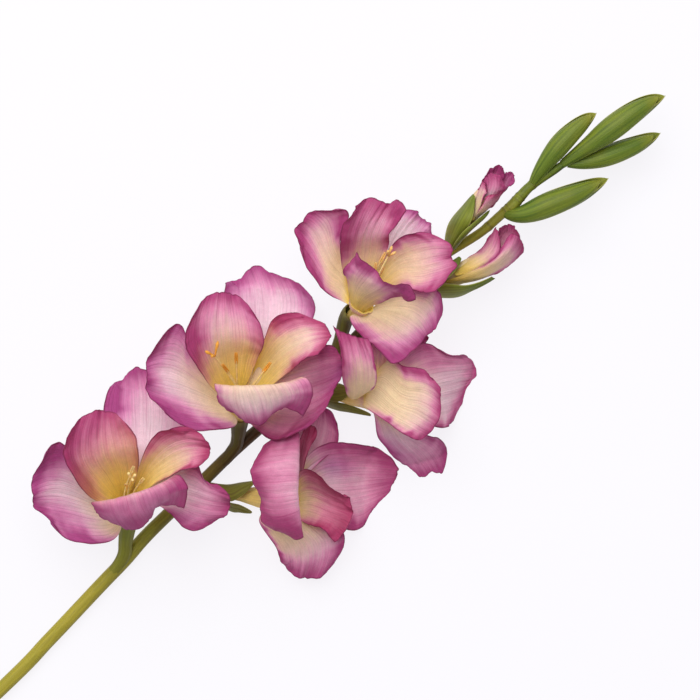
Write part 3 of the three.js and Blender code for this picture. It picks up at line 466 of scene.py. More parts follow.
blooms = [
    {
        "name": "bloom_1",
        "stamens": "stamens_1",
        "throat": (129, 505, 26),
        "heading": 92,
        "tilt": 45,
        "foot": (126.7, 533, 13.8),
        "spathe": {
            "line": [
                (104, 581, 4), (114, 571, 4.4), (121.5, 561, 5.4), (125, 552, 7.5), (125.5, 542, 10.5),
                (127, 531, 14.5), (129, 519, 19),
            ],
            "radii": (2.4, 3.2, 3.5, 3.6, 3.6, 4.1, 5), "olive": 0.75, "brown": 0.12,
        },
        "stigmas": [(128, 472, 52), (136, 474, 52), (133, 480, 50)],
        "anthers": [(134, 466, 48), (126, 484, 50), (144, 478, 44)],
        "pollen": 0.08,
        "tepals": [
            openTepal(
                0,
                [(114, 446, 34), (146, 452, 28), (180, 446, 32)],
                [(104, 404, 16), (150, 410, 8), (196, 420, 14)],
                [(118, 382, -5), (145, 367, -14), (182, 380, -8)],
                outer=True, left=0.42, right=0.4, tip=0.42, wash=0.06, cream=0.2,
                pinkAt=[(-0.8, 0.7, 0.35, 0.35)],
            ),
            openTepal(
                -110,
                [(113, 540, 28), (98, 506, 30), (84, 468, 40)],
                [(76, 542, 34), (62, 494, 34), (60, 443, 48)],
                [(45, 515, 38), (31, 497, 40), (40, 461, 46)],
                outer=True, left=0.36, right=0.34, tip=0.3, wash=0.1, cream=0.5,
                pinkAt=[(-0.5, 0.75, 0.4, 0.4), (0.7, 0.8, 0.4, 0.5)], darkAt=[(0.95, 0.85, 0.3, 0.3)],
            ),
            openTepal(
                112,
                [(167, 463, 30), (158, 488, 27), (157, 506, 28)],
                [(195, 462, 36), (186, 496, 34), (170, 514, 31)],
                [(207, 481, 38), (208, 502, 36), (188, 530, 34)],
                [(223, 486, 38), (231, 506, 34), (214, 525, 32)],
                outer=True, left=0.35, right=0.35, tip=0.42, wash=0.3, cream=0.3, warm=0.35,
                purpleAt=[(0.8, 0.6, 0.35, 0.4)], darkAt=[(-0.2, 1, 0.3, 0.35)],
            ),
            openTepal(
                -50,
                [(86, 494, 48), (108, 478, 38), (138, 470, 40)],
                [(65, 456, 62), (94, 452, 52), (137, 441, 52)],
                [(73, 424, 60), (98, 409, 52), (119, 416, 50)],
                left=0.6, right=0.3, tip=0.5, wash=0.5, gold=0.75, cream=0.8, warm=0.6, start=-0.1,
                lean=0.3, pinkAt=[(-0.9, 0.35, 0.4, 0.5)], darkAt=[(-0.75, 0.62, 0.14, 0.3)],
            ),
            openTepal(
                60,
                [(142, 458, 40), (152, 470, 34), (154, 484, 38)],
                [(162, 430, 50), (180, 450, 44), (182, 472, 50)],
                [(197, 430, 50), (211, 448, 48), (203, 464, 50)],
                left=0.55, right=0.2, tip=0.42, wash=0.1, gold=0.55, cream=1, warm=0.85, lean=0.3,
                start=0.15,
            ),
            openTepal(
                180,
                [(160, 488, 48), (146, 496, 44), (131, 501, 42), (117, 503, 44), (102, 503, 46)],
                [(177, 475, 64), (156, 486, 68), (134, 494, 68), (112, 500, 66), (91, 503, 58)],
                [(188, 488, 64), (163, 497, 68), (139, 509, 68), (115, 514, 66), (95, 510, 58)],
                [(184, 510, 56), (160, 505, 60), (149, 522, 58), (127, 530, 56), (103, 517, 52)],
                frill=0.5, corners=0, left=0.3, right=0.3, tip=0.3, wash=0.62, gold=0.55, cream=0.4,
                warm=0.35, purpleAt=[(0.6, 0.95, 0.4, 0.25), (-0.3, 0.9, 0.4, 0.2)],
            ),
        ],
    },
    {
        "name": "bloom_2",
        "stamens": "stamens_2",
        "throat": (284, 500, 18),
        "heading": -5,
        "tilt": 36,
        "foot": (224, 493, 10),
        "tube": [(0, 2.2), (0.1, 2.7), (0.2, 3.1), (0.3, 3.9), (0.45, 5.1), (0.7, 5.6)],
        "bractNets": [
            [
                [(200, 480, 7), (203, 485, 8.5), (204, 489, 6.5)],
                [(225, 484.5, 9.5), (228, 494, 14.8), (227, 501, 13)],
                [(241, 482.5, 11), (243, 488, 16.6), (240, 497, 17.5)],
                [(253, 481, 14), (254.5, 482.5, 16), (252.5, 485, 17.5)],
            ],
            [
                [(198, 486, 7.5), (200, 489, 6.5), (200, 491, 5)],
                [(226, 501, 12), (228, 505, 9.5), (228, 510, 5.5)],
                [(240, 505, 11), (241, 509, 8), (240, 512.5, 5)],
                [(251, 511, 9), (252, 512.5, 8), (250.5, 513.5, 7)],
            ],
        ],
        "threads": (-5, 1.4, 3, 1.6, 4, 0.8),
        "stigmas": [(298, 497, 24), (299, 500, 23), (298, 503, 24)],
        "anthers": [(294, 496, 23), (296, 500, 21), (294, 504, 22)],
        "pollen": 0.7,
        "tepals": [
            openTepal(
                0,
                [(312, 451, 24), (320, 482, 12), (326, 524, 14)],
                [(346, 443, 16), (352, 478, 4), (359, 530, 4)],
                [(385, 449, -4), (398, 475, -14), (374, 501, -6)],
                outer=True, left=0.75, right=0.25, tip=0.4, wash=0.2, gold=0.2, cream=0.35, warm=0.4,
                purpleAt=[(-0.3, 0.5, 0.3, 0.6)],
            ),
            openTepal(
                -100,
                [(284, 462, 20), (300, 464, 18), (316, 466, 18)],
                [(290, 428, 24), (312, 432, 18), (339, 441, 14)],
                [(306, 408, 22), (319, 403, 20), (327, 410, 16)],
                outer=True, left=0.4, right=0.3, tip=0.4, wash=0.35, cream=0.2, warm=0.3,
            ),
            openTepal(
                110,
                [(330, 522, 18), (294, 526, 20), (259, 520, 20)],
                [(345, 538, 18), (312, 548, 18), (276, 548, 20)],
                [(330, 570, 12), (307, 580, 10), (280, 565, 14)],
                outer=True, corners=0.5, left=0.4, right=0.12, tip=0.45, wash=0.08, gold=0.2,
                cream=0.75, warm=0.3, lean=0.4,
            ),
            openTepal(
                -60,
                [(296, 474, 30), (300, 472, 26), (303, 470, 28)],
                [(298, 450, 36), (304, 452, 31), (309, 450, 30)],
                [(303, 429, 38), (311, 424, 34), (320, 433, 32)],
                frill=0.6, left=0.5, right=0.5, tip=0.4, wash=0.8, warm=1,
                darkAt=[(-0.5, 0.6, 0.6, 0.9)],
            ),
            openTepal(
                60,
                [(302, 470, 28), (308, 498, 18), (304, 522, 22)],
                [(325, 481, 30), (332, 506, 21), (320, 529, 26)],
                [(346, 499, 28), (353, 514, 24), (337, 545, 24)],
                corners=0.3, left=0.6, right=0.3, tip=0.6, wash=0.4, gold=0.3, cream=0.85, warm=0.9,
                darkAt=[(-0.8, 0.6, 0.5, 0.4), (0.5, 0.9, 0.3, 0.4)],
            ),
            openTepal(
                180,
                [(296, 520, 36), (294, 510, 38), (292, 498, 38), (292, 480, 40), (294, 460, 40)],
                [(303, 537, 42), (299, 515, 50), (297, 492, 52), (298, 462, 50), (299, 432, 42)],
                [(292, 538, 42), (280, 522, 50), (275, 494, 54), (275, 462, 52), (284, 434, 42)],
                [(278, 531, 38), (261, 516, 42), (258, 492, 44), (250, 468, 46), (266, 444, 42)],
                frill=0.6, corners=0, left=0.35, right=0.3, tip=0.32, wash=0.5, cream=0.3, warm=0.45,
                pinkAt=[(-0.7, 0.75, 0.4, 0.35)], darkAt=[(-1, 0.8, 0.35, 0.3)],
            ),
        ],
    },
    {
        "name": "bloom_3",
        "stamens": "stamens_3",
        "throat": (241, 406, 32),
        "heading": 84,
        "tilt": 45,
        "foot": (238.7, 429, 19),
        "spathe": {
            "line": [
                (216, 469, 7.8), (225, 460, 8.6), (232.5, 451, 9.8), (236.5, 444, 12), (238, 436, 15.5),
                (239, 427, 20), (240, 416, 25),
            ],
            "radii": (2.3, 3, 3.3, 3.3, 3.4, 4.1, 5), "olive": 0.4, "brown": 0.75,
        },
        "stigmas": [(218, 341, 64), (205, 351, 66), (211, 356, 66)],
        "anthers": [(236, 352, 58), (222, 364, 60), (271, 362, 48)],
        "pollen": 0.9,
        "tepals": [
            openTepal(
                0,
                [(232, 345, 38), (247, 348, 34), (262, 350, 32), (280, 350, 34), (296, 348, 38)],
                [(224, 299, 20), (246, 303, 14), (270, 306, 10), (294, 308, 14), (315, 315, 22)],
                [(227, 281, -4), (243, 276, -14), (260, 266, -18), (283, 277, -14), (307, 288, -4)],
                outer=True, left=0.42, right=0.36, tip=0.42, wash=0.05, cream=0.3,
            ),
            openTepal(
                -110,
                [(233, 427, 34), (210, 398, 32), (194, 354, 38)],
                [(198, 430, 40), (174, 384, 36), (180, 325, 46)],
                [(155, 406, 42), (145, 380, 42), (153, 345, 46)],
                outer=True, left=0.36, right=0.42, tip=0.36, wash=0.04, cream=0.6,
                pinkAt=[(-0.6, 0.7, 0.35, 0.45)], darkAt=[(0.9, 0.95, 0.25, 0.3)],
            ),
            openTepal(
                115,
                [(276, 368, 38), (270, 396, 33), (254, 427, 38)],
                [(316, 346, 46), (312, 390, 40), (280, 441, 48)],
                [(337, 352, 46), (342, 375, 44), (319, 417, 48)],
                outer=True, left=0.3, right=0.35, tip=0.45, wash=0.42, cream=0.6, warm=0.4,
                purpleAt=[(-0.1, 1, 0.4, 0.45)], darkAt=[(-0.1, 0.75, 0.3, 0.5)],
            ),
            openTepal(
                -48,
                [(204, 378, 52), (226, 364, 42), (257, 360, 44)],
                [(186, 341, 64), (222, 332, 54), (264, 338, 56)],
                [(200, 301, 60), (222, 291, 52), (246, 299, 52)],
                left=0.5, right=0.36, tip=0.36, wash=0.14, gold=0.6, cream=0.85, warm=0.45, start=0,
                lean=0.2, pinkAt=[(-0.7, 0.6, 0.3, 0.3)],
            ),
            openTepal(
                52,
                [(264, 340, 40), (268, 362, 36), (282, 377, 44)],
                [(278, 315, 46), (296, 338, 48), (304, 362, 58)],
                [(311, 316, 48), (331, 332, 52), (323, 348, 58)],
                left=0.42, right=0.3, tip=0.34, wash=0.05, gold=0.55, cream=1, warm=0.8,
                pinkAt=[(-0.7, 0.75, 0.4, 0.4)],
            ),
            openTepal(
                180,
                [(286, 386, 52), (266, 392, 50), (248, 394, 48), (232, 393, 50), (220, 389, 52)],
                [(305, 377, 68), (280, 384, 72), (250, 386, 74), (230, 386, 70), (214, 384, 64)],
                [(313, 393, 68), (288, 396, 72), (257, 403, 74), (230, 401, 70), (217, 395, 64)],
                [(303, 418, 60), (283, 408, 64), (262, 425, 62), (240, 419, 60), (222, 405, 58)],
                frill=0.4, corners=0, left=0.4, right=0.36, tip=0.26, wash=0.1, gold=0.5, cream=0.8,
                warm=0.35, start=0.3,
            ),
        ],
    },
    {
        "name": "bloom_4",
        "stamens": "stamens_4",
        "throat": (368, 397, 26),
        "heading": 5,
        "tilt": 38,
        "foot": (328, 392.5, 17),
        "tube": [(0, 2.2), (0.2, 2.8), (0.45, 3.9), (0.7, 4.8)],
        "bractNets": [
            [
                [(306, 384, 13), (308, 389, 14.5), (306, 392, 12.5)],
                [(328, 383, 17), (331, 392, 22), (330, 401, 19.5)],
                [(341, 384, 20), (344, 391, 25.2), (341, 401, 23.5)],
                [(347, 389, 25), (349, 391.5, 26.8), (346, 395, 26.5)],
            ],
            [
                [(304, 390, 13.5), (305, 394, 12.5), (303, 396, 11)],
                [(332, 400.5, 19), (334, 405, 17), (333, 409, 12)],
                [(350, 405, 19), (352, 409, 17), (350, 412.5, 14)],
                [(369, 413, 18), (371, 415, 17), (370, 416, 16)],
            ],
        ],
        "threads": (-5, 1.4, 3, 1.6, 4, 0.8),
        "stigmas": [(381, 393, 31), (382, 397, 30), (381, 401, 30)],
        "anthers": [(377, 391, 31), (379, 397, 29), (377, 403, 29)],
        "pollen": 0.7,
        "tepals": [
            openTepal(
                -5,
                [(392, 368, 32), (394, 378, 28), (396, 388, 26), (397, 400, 26), (397, 412, 28)],
                [(420, 343, 32), (428, 362, 25), (432, 384, 20), (434, 404, 20), (438, 428, 22)],
                [(444, 353, 24), (457, 362, 14), (460, 378, 8), (452, 400, 8), (450, 425, 12)],
                [(463, 354, 12), (472, 360, 0), (475, 377, -6), (465, 393, -2), (456, 418, 4)],
                outer=True, frill=0.7, corners=0.5, left=0.36, right=0.2, tip=0.42, wash=0.1, cream=0.5,
                warm=0.4, pinkAt=[(-0.5, 0.55, 0.3, 0.3)],
            ),
            openTepal(
                -100,
                [(368, 374, 28), (380, 370, 24), (392, 368, 24)],
                [(378, 342, 28), (400, 342, 22), (422, 346, 22)],
                [(394, 324, 28), (412, 322, 24), (429, 336, 22)],
                outer=True, left=0.4, right=0.4, tip=0.4, wash=0.3, cream=0.4,
            ),
            openTepal(
                110,
                [(395, 418, 26), (385, 418, 23), (373, 412, 24)],
                [(418, 432, 22), (402, 440, 15), (379, 439, 18)],
                [(440, 438, 12), (420, 458, 4), (394, 455, 7)],
                [(450, 461, -6), (430, 474, -16), (405, 469, -8)],
                outer=True, left=0.3, right=0.4, tip=0.36, wash=0.3, cream=0.4, warm=0.2,
                purpleAt=[(0.6, 0.55, 0.5, 0.35)],
            ),
            openTepal(
                -60,
                [(368, 374, 36), (378, 376, 32), (386, 376, 32)],
                [(366, 352, 40), (380, 356, 34), (394, 362, 32)],
                [(370, 340, 36), (386, 342, 34), (400, 350, 32)],
                left=0.4, right=0.3, tip=0.3, wash=0.35, gold=0.6, cream=1, warm=0.6,
            ),
            openTepal(
                165,
                [(365, 407, 32), (373, 391, 35), (380, 378, 35), (384, 368, 35), (387, 361, 36)],
                [(386, 422, 38), (396, 409, 38), (402, 395, 38), (405, 380, 40), (403, 365, 42)],
                [(403, 434, 40), (416, 418, 40), (424, 400, 41), (426, 384, 42), (423, 369, 43)],
                [(421, 441, 38), (434, 430, 39), (441, 412, 40), (441, 396, 41), (433, 379, 41)],
                corners=0.5, left=0.14, right=0.3, tip=0.3, wash=0.04, gold=0.25, cream=1, warm=0.5,
                pinkAt=[(0.8, 0.7, 0.3, 0.4)],
            ),
            openTepal(
                218,
                [(349, 397, 34), (356, 398, 38), (367, 392, 41)],
                [(344, 383, 44), (358, 385, 50), (376, 384, 49)],
                [(341, 360, 54), (357, 362, 59), (376, 366, 54)],
                [(333, 325, 50), (350, 334, 57), (367, 337, 54)],
                frill=0.5, corners=0, left=0.22, right=0.08, tip=0.42, wash=0.16, gold=0.35, cream=1.1,
                warm=0.5, pinkAt=[(-0.6, 0.7, 0.35, 0.25)],
            ),
        ],
    },
    {
        "name": "bloom_5",
        "stamens": "stamens_5",
        "throat": (360, 306, 36),
        "heading": 55,
        "tilt": 46,
        "foot": (346.5, 318.5, 27.5),
        "spathe": {
            "line": [
                (318, 375, 12.4), (327, 364.5, 13.2), (335, 353, 15), (340, 341, 18.5), (343, 329, 23),
                (346.5, 318.5, 27.5), (352, 312.7, 31.4),
            ],
            "radii": (2.1, 2.8, 3.2, 3.4, 3.5, 3.9, 4.8), "olive": 0.4, "brown": 0.6,
        },
        "stigmas": [(392, 246, 56), (396, 252, 54), (388, 250, 58)],
        "anthers": [(386, 252, 54), (384, 266, 50), (376, 262, 52)],
        "pollen": 0.5,
        "tepals": [
            openTepal(
                10,
                [(376, 266, 38), (386, 260, 34), (398, 256, 34)],
                [(386, 230, 32), (404, 234, 26), (426, 240, 24)],
                [(400, 208, 24), (420, 214, 16), (433, 233, 14)],
                outer=True, left=0.2, right=0.4, tip=0.25, wash=0.05, cream=0.4,
            ),
            openTepal(
                -95,
                [(340, 300, 38), (341, 276, 36), (341, 253, 40)],
                [(323, 291, 42), (329, 262, 38), (342, 232, 46)],
                [(308, 265, 44), (315, 234, 40), (348, 213, 52)],
                [(297, 244, 44), (300, 221, 44), (329, 208, 50)],
                outer=True, left=0.36, right=0.25, tip=0.4, wash=0.1, gold=0.2, cream=0.85, warm=0.3,
                pinkAt=[(-0.6, 0.8, 0.4, 0.4), (0.8, 0.6, 0.3, 0.4)],
            ),
            openTepal(
                110,
                [(392, 295, 40), (379, 312, 38), (350, 319, 38)],
                [(434, 286, 42), (404, 322, 40), (366, 341, 46)],
                [(441, 321, 38), (424, 341, 38), (398, 367, 50)],
                outer=True, corners=0.6, left=0.25, right=0.35, tip=0.35, wash=0.05, cream=1, warm=0.2,
            ),
            openTepal(
                -40,
                [(341, 262, 48), (352, 260, 44), (364, 257, 42), (376, 254, 42), (387, 250, 44)],
                [(342, 232, 62), (355, 232, 56), (368, 232, 52), (380, 232, 52), (391, 232, 56)],
                [(357, 206, 60), (372, 196, 56), (387, 203, 54), (396, 198, 56), (409, 208, 62)],
                corners=0.2, left=0.4, right=0.3, tip=0.36, wash=0.3, gold=0.3, cream=0.7, warm=0.5,
                pinkAt=[(-0.6, 0.6, 0.3, 0.35)],
            ),
            openTepal(
                50,
                [(388, 252, 42), (391, 262, 38), (394, 272, 38), (396, 279, 40), (398, 286, 44)],
                [(408, 234, 46), (420, 248, 44), (422, 264, 44), (424, 278, 46), (424, 294, 52)],
                [(436, 234, 46), (453, 246, 48), (452, 257, 48), (458, 267, 48), (437, 284, 52)],
                left=0.3, right=0.3, tip=0.38, wash=0.1, gold=0.4, cream=1, warm=0.5,
            ),
            openTepal(
                180,
                [(378, 303, 46), (370, 300, 50), (361, 297, 52), (353, 290, 52), (347, 283, 50)],
                [(398, 299, 54), (388, 291, 62), (374, 288, 64), (357, 276, 64), (346, 268, 58)],
                [(419, 299, 62), (404, 285, 69), (382, 279, 72), (368, 263, 72), (357, 249, 68)],
                frill=1.4, corners=0.3, left=0.35, right=0.3, tip=0.42, wash=0.12, gold=0.45, cream=1,
                warm=0.3, pinkAt=[(-0.6, 0.9, 0.4, 0.4), (0.6, 0.95, 0.3, 0.3)],
            ),
        ],
    },
]
tepalBuild = {
    "columns": 40,
    "rows": 48,
    "thickness": 0.0006,
    "throatRadius": 5.5,
    "clawSpread": 33,
    "clawStep": 0.6,
    "frill": 1.2,  # mm, the slow wave of the margin
    "frillWaves": 2.2,
    "ruffle": 0.35,  # mm, the quick wave of the margin
    "ruffleWaves": 5,
    "nibble": 0.008,  # share of the tepal that the margin wanders in
    "pleat": 0.22,  # mm, the lengthwise ribs
    "pleats": 7,
    "swell": 0.7,  # mm, slow uneven waves over the whole tepal
    "roundness": 0.1,
}
bractBuild = {
    **tepalBuild,
    "columns": 24,
    "rows": 36,
    "thickness": 0.0007,
    "frill": 0.0,
    "ruffle": 0.0,
    "nibble": 0.0,
    "pleat": 0.12,
    "pleats": 13,
    "swell": 0.0,
    "roundness": 0.0,
}

# Where the uneven lines of each kind of blade start.
seeds = {"tepals": 1, "tepalStep": 6, "budTepals": 40, "budStep": 7, "budBracts": 60, "bracts": 80}


def throatFrame(bloom):
    turn = math.radians(bloom["heading"]) - sheet["turn"]
    lean = math.radians(bloom["tilt"])
    level = np.array([math.cos(turn), math.sin(turn), 0])
    axis = level * math.cos(lean) + np.array([0, 0, math.sin(lean)])
    top = level * math.sin(lean) - np.array([0, 0, math.cos(lean)])
    return onSheet(bloom["throat"]), axis, top, np.cross(top, axis)


def ringPoint(bloom, clock, radius):
    centre, _, top, right = throatFrame(bloom)
    angle = math.radians(clock)
    return centre + (radius / 1000) * (math.cos(angle) * top + math.sin(angle) * right)


def wander(values, seed):
    # a smooth uneven line between -1 and 1
    total = np.zeros_like(values)
    for k, size in enumerate((1.0, 0.6, 0.4)):
        total += size * np.sin(values * (3.1 + 4.7 * k) + seed * (1.3 + 2.1 * k))
    return total / 2


# A smooth patch through the points of a net, with ribs and a waved, slightly uneven margin.
def netShape(points, build, seed, clock=0.0, roundness=1.0):
    rowCount, columns = points.shape[:2]

    def bare(t, x):
        # the margin wanders in a little and the two far corners are rounded off
        corner = np.clip((np.abs(x) - 0.55) / 0.45, 0, 1)
        t = t * (1 - build["roundness"] * roundness * (1 - np.sqrt(1 - 0.999 * corner**2)))
        t = t * (1 - build["nibble"] * (1 + wander(2.5 * x, seed)) * smoothStep(0.6, 1, t))
        x = x * (1 - build["nibble"] * (1 + wander(4 * t, seed + 2)) * smoothStep(0.3, 0.6, t))
        across = curveWeights(columns, (x + 1) / 2)
        outwards = curveWeights(rowCount, t)
        return np.einsum("nr,nc,rcd->nd", outwards, across, points)

    def shape(u, v):
        t = v
        x = 2 * u - 1
        middle = bare(t, x)
        step = 0.01
        down = bare(np.minimum(t + step, 1), x) - bare(np.maximum(t - step, 0), x)
        across = bare(t, np.minimum(x + step, 1)) - bare(t, np.maximum(x - step, -1))
        normal = unit(np.cross(down, across))
        atSide = np.abs(x) > 2 * t - 1
        rim = np.maximum(np.abs(x), 2 * t - 1)
        around = np.where(atSide, np.sign(x) * (1 + (1 - t) * 1.6), x)
        fade = np.clip(1.6 * t - 0.3, 0, 1)
        slow = np.sin(math.pi * build["frillWaves"] * around + math.radians(clock))
        lift = build["frill"] * rim**3 * slow
        unevenPlace = 1.3 * seed + 2 * wander(3 * around, seed)
        quick = np.sin(math.pi * build["ruffleWaves"] * around + unevenPlace)
        lift += build["ruffle"] * rim**5 * quick
        ribs = np.cos(math.pi * build["pleats"] * x + 0.5 * seed) * (1 - np.abs(x)) ** 0.5
        lift += build["pleat"] * ribs * smoothStep(0.1, 0.4, t) * (1 - smoothStep(0.75, 1, t))
        swell = wander(2.2 * x + 1.7 * t, seed + 5) * wander(1.1 * x - 2.6 * t, seed + 7)
        lift += build["swell"] * swell * t
        placed = middle + normal * (lift * fade / 1000)[:, None]
        placed[:, 2] = np.maximum(placed[:, 2], build["thickness"] / 2)
        return placed

    return shape


def tepalSurface(bloom, tepal, seed):
    build = tepalBuild
    radius = build["throatRadius"] + (build["clawStep"] if tepal["outer"] else -build["clawStep"])
    asides = np.linspace(-1, 1, len(tepal["net"][0]))
    clocks = tepal["clock"] + build["clawSpread"] * asides
    claw = np.array([ringPoint(bloom, clock, radius) for clock in clocks])
    points = np.concatenate([claw[None], onSheet(tepal["net"])])
    build = {**build, "frill": build["frill"] * tepal["frill"]}
    return netShape(points, build, seed, tepal["clock"], tepal["corners"])


# Local patches of colour: each has its place across and along the tepal, a size and an amount. The dark
# patches are painted shade in folds and under overlapping tepals, and the purple patches are partly the
# tepal's own lavender tint and partly painted shade.
def spotsOf(look, key, x, t):
    total = np.zeros_like(x)
    for placeX, placeT, size, amount in look.get(key, ()):
        distance = np.hypot((x - placeX) / 1.7, t - placeT)
        total += amount * (1 - smoothStep(0, size, distance))
    return total


def marginRun(distance, reach):
    soft = np.clip(1 - distance / (1.3 * reach), 0, 1) ** 1.6
    deep = np.clip(1 - distance / (0.6 * reach), 0, 1) ** 1.2
    return 0.5 * soft + 0.5 * deep


def tepalColours(tepal, u, v, seed):
    look = tepal["look"]
    x = 2 * u - 1
    t = v + 0.03 * wander(6 * u, seed)
    bend = 0.12 * wander(5 * v, seed + 4)
    start = look.get("start", 0.1)
    outward = smoothStep(start, start + 0.5, t)
    left = marginRun(1 + x + bend, 2 * look["left"]) * outward
    right = marginRun(1 - x + bend, 2 * look["right"]) * outward
    tip = marginRun(1 - t, look["tip"])
    wash = look["wash"] * smoothStep(0.1, 0.7, t)
    pink = 1 - (1 - left) * (1 - right) * (1 - tip) * (1 - wash)
    lean = 1 + look.get("lean", 0) * x
    gold = 1 - smoothStep(0.1, 1.25, t / np.maximum(look.get("gold", 0.12) * lean, 0.01))
    cream = 1 - smoothStep(0.4, 1.3, t / np.maximum(look.get("cream", 0.1) * lean, 0.01))
    pink = pink * (1 - 0.75 * gold * (1 - 0.8 * np.maximum(left, right)))
    pink = np.clip(pink + spotsOf(look, "pinkAt", x, t), 0, 1)
    gold = np.clip(gold * (1 - 0.5 * pink) + spotsOf(look, "goldAt", x, t), 0, 1)
    # purple patches: partly the tepal's own tint, partly painted shade
    purple = np.clip(spotsOf(look, "purpleAt", x, t), 0, 1)
    # dark patches: painted shade in folds and under overlapping tepals
    shade = np.clip(spotsOf(look, "darkAt", x, t), 0, 1)
    return (pink, gold, cream), (look.get("warm", 0), purple, shade)


def makeTepal(shape, tepal, seed, build):
    piece, u, v = gridPiece("tepal", build["columns"], build["rows"], shape)
    blush, tintAndShade = tepalColours(tepal, u, v, seed)
    paint(piece, "blush", *blush)
    paint(piece, "tintAndShade", *tintAndShade)
    thicken(piece, build["thickness"], bodyOf(u, v, 6, 8), 0.5)
    return piece


def curveFrame(curve, shares):
    step = 0.01
    ahead = unit(curve(np.minimum(shares + step, 1)) - curve(np.maximum(shares - step, 0)))
    side = unit(np.cross(np.array([0.0, 0.0, 1.0]), ahead))
    return ahead, side, np.cross(ahead, side)


# A closed round piece along a curve: the profile holds pairs of a share of the curve and a radius.
def sweptPiece(name, curve, profile, sides, rows, ripple=None):
    profile = np.asarray(profile, float)

    def shape(u, v):
        place = v * (len(profile) - 1)
        low = np.minimum(np.floor(place).astype(int), len(profile) - 2)
        part = (place - low)[:, None]
        pair = profile[low] * (1 - part) + profile[low + 1] * part
        share, radius = pair[:, 0], pair[:, 1]
        _, side, rise = curveFrame(curve, share)
        angle = 2 * math.pi * u
        if ripple is not None:
            radius = radius * ripple(u, v)
        out = side * (radius * np.cos(angle))[:, None] + rise * (radius * np.sin(angle))[:, None]
        return curve(share) + out / 1000

    return gridPiece(name, sides, rows, shape)


# Where each point of a swept piece sits: its place in the profile and its share of the curve.
def placesOf(profile, v):
    place = v * (len(profile) - 1)
    return place, np.interp(place, range(len(profile)), [pair[0] for pair in profile])


def tubeCurve(bloom):
    centre, axis, _, _ = throatFrame(bloom)
    foot = onSheet(bloom["foot"])
    reach = np.linalg.norm(foot - centre)
    bend = centre - 0.45 * reach * axis
    bend = bend * 0.65 + (foot + centre) * 0.5 * 0.35
    lip = 0.0025
    turnShare = 0.9

    def curve(shares):
        shares = np.asarray(shares, float)
        first = alongCurve([foot, bend, centre], np.minimum(shares / turnShare, 1))
        beyond = np.maximum(shares - turnShare, 0) / (1 - turnShare)
        return first + beyond[..., None] * axis * lip

    return curve


tubeBuild = {
    "wall": 1.1,
    "profile": [(0, 2), (0.2, 2.3), (0.45, 2.9), (0.7, 4)],
    "lip": [(0.9, 6.05), (1, 6.6), (1, 5.6), (0.9, 4.95)],
    "bottom": [(0.3, 2), (0.3, 0)],
}


def makeTube(bloom):
    curve = tubeCurve(bloom)
    outside = bloom.get("tube", tubeBuild["profile"])
    inside = (0.7, outside[-1][1] - tubeBuild["wall"])
    profile = [(0, 0), *outside, *tubeBuild["lip"], inside, *tubeBuild["bottom"]]

    def flutes(u, v):
        return 1 + 0.05 * np.cos(2 * math.pi * 6 * u)

    rows = 3 * (len(profile) - 1)
    piece, u, v = sweptPiece("tube", curve, profile, 36, rows, flutes)
    place, share = placesOf(profile, v)
    inner = smoothStep(len(outside) + 1, len(outside) + 3, place)
    pink = 0.3 * smoothStep(0.7, 1, share) * (1 - inner)
    gold = np.maximum(inner, 0.75 * (1 - smoothStep(0.4, 1, share)))
    paint(piece, "blush", pink, gold, 1)
    paint(piece, "tintAndShade", 0.5, 0, 0)
    return piece


# A thin blade that wraps round a curve, from share to share, and narrows to a tip.
def wrapShape(curve, wrap, thickness):
    def shape(u, v):
        t = v
        x = 2 * u - 1
        share = wrap["from"] + (wrap["to"] - wrap["from"]) * t
        inside = np.clip(share, 0, 1)
        ahead, side, rise = curveFrame(curve, inside)
        length = np.linalg.norm(curve(np.array(0.0)) - curve(np.array(1.0)))
        beyond = (share - inside)[:, None] * length
        middle = curve(inside) + ahead * beyond
        radius = alongCurve(np.array(wrap["radii"], float)[:, None], t)[:, 0]
        radius = radius + wrap["slant"] * x
        narrow = (1 - t ** wrap["pointed"]) ** 0.7
        angle = np.radians(wrap["facing"] + (wrap["spread"] * narrow + wrap["tipSpread"]) * x)
        ribs = wrap["ribs"] * np.cos(math.pi * wrap["ribCount"] * x)
        radius = radius + ribs * (1 - t)
        out = side * (radius * np.cos(angle))[:, None] + rise * (radius * np.sin(angle))[:, None]
        placed = middle + out / 1000
        placed[:, 2] = np.maximum(placed[:, 2], thickness / 2)
        return placed

    return shape


# A green blade of a given shape, with its shares of olive, brown and pale painted on.
def makeBlade(name, shape, build, growth):
    piece, u, v = gridPiece(name, build["columns"], build["rows"], shape)
    paint(piece, "growth", *growth(u, v))
    thicken(piece, build["thickness"], bodyOf(u, v, 8, 10), 0.4)
    return piece


spatheBuild = {"wall": 0.7, "hollow": [(0.76, 2.6), (0.76, 0)], "ribs": 11}


# Each side's seam: nought half way to it and one on it.
def seamOf(u):
    return np.abs((2 * u) % 1 - 0.5) * 2


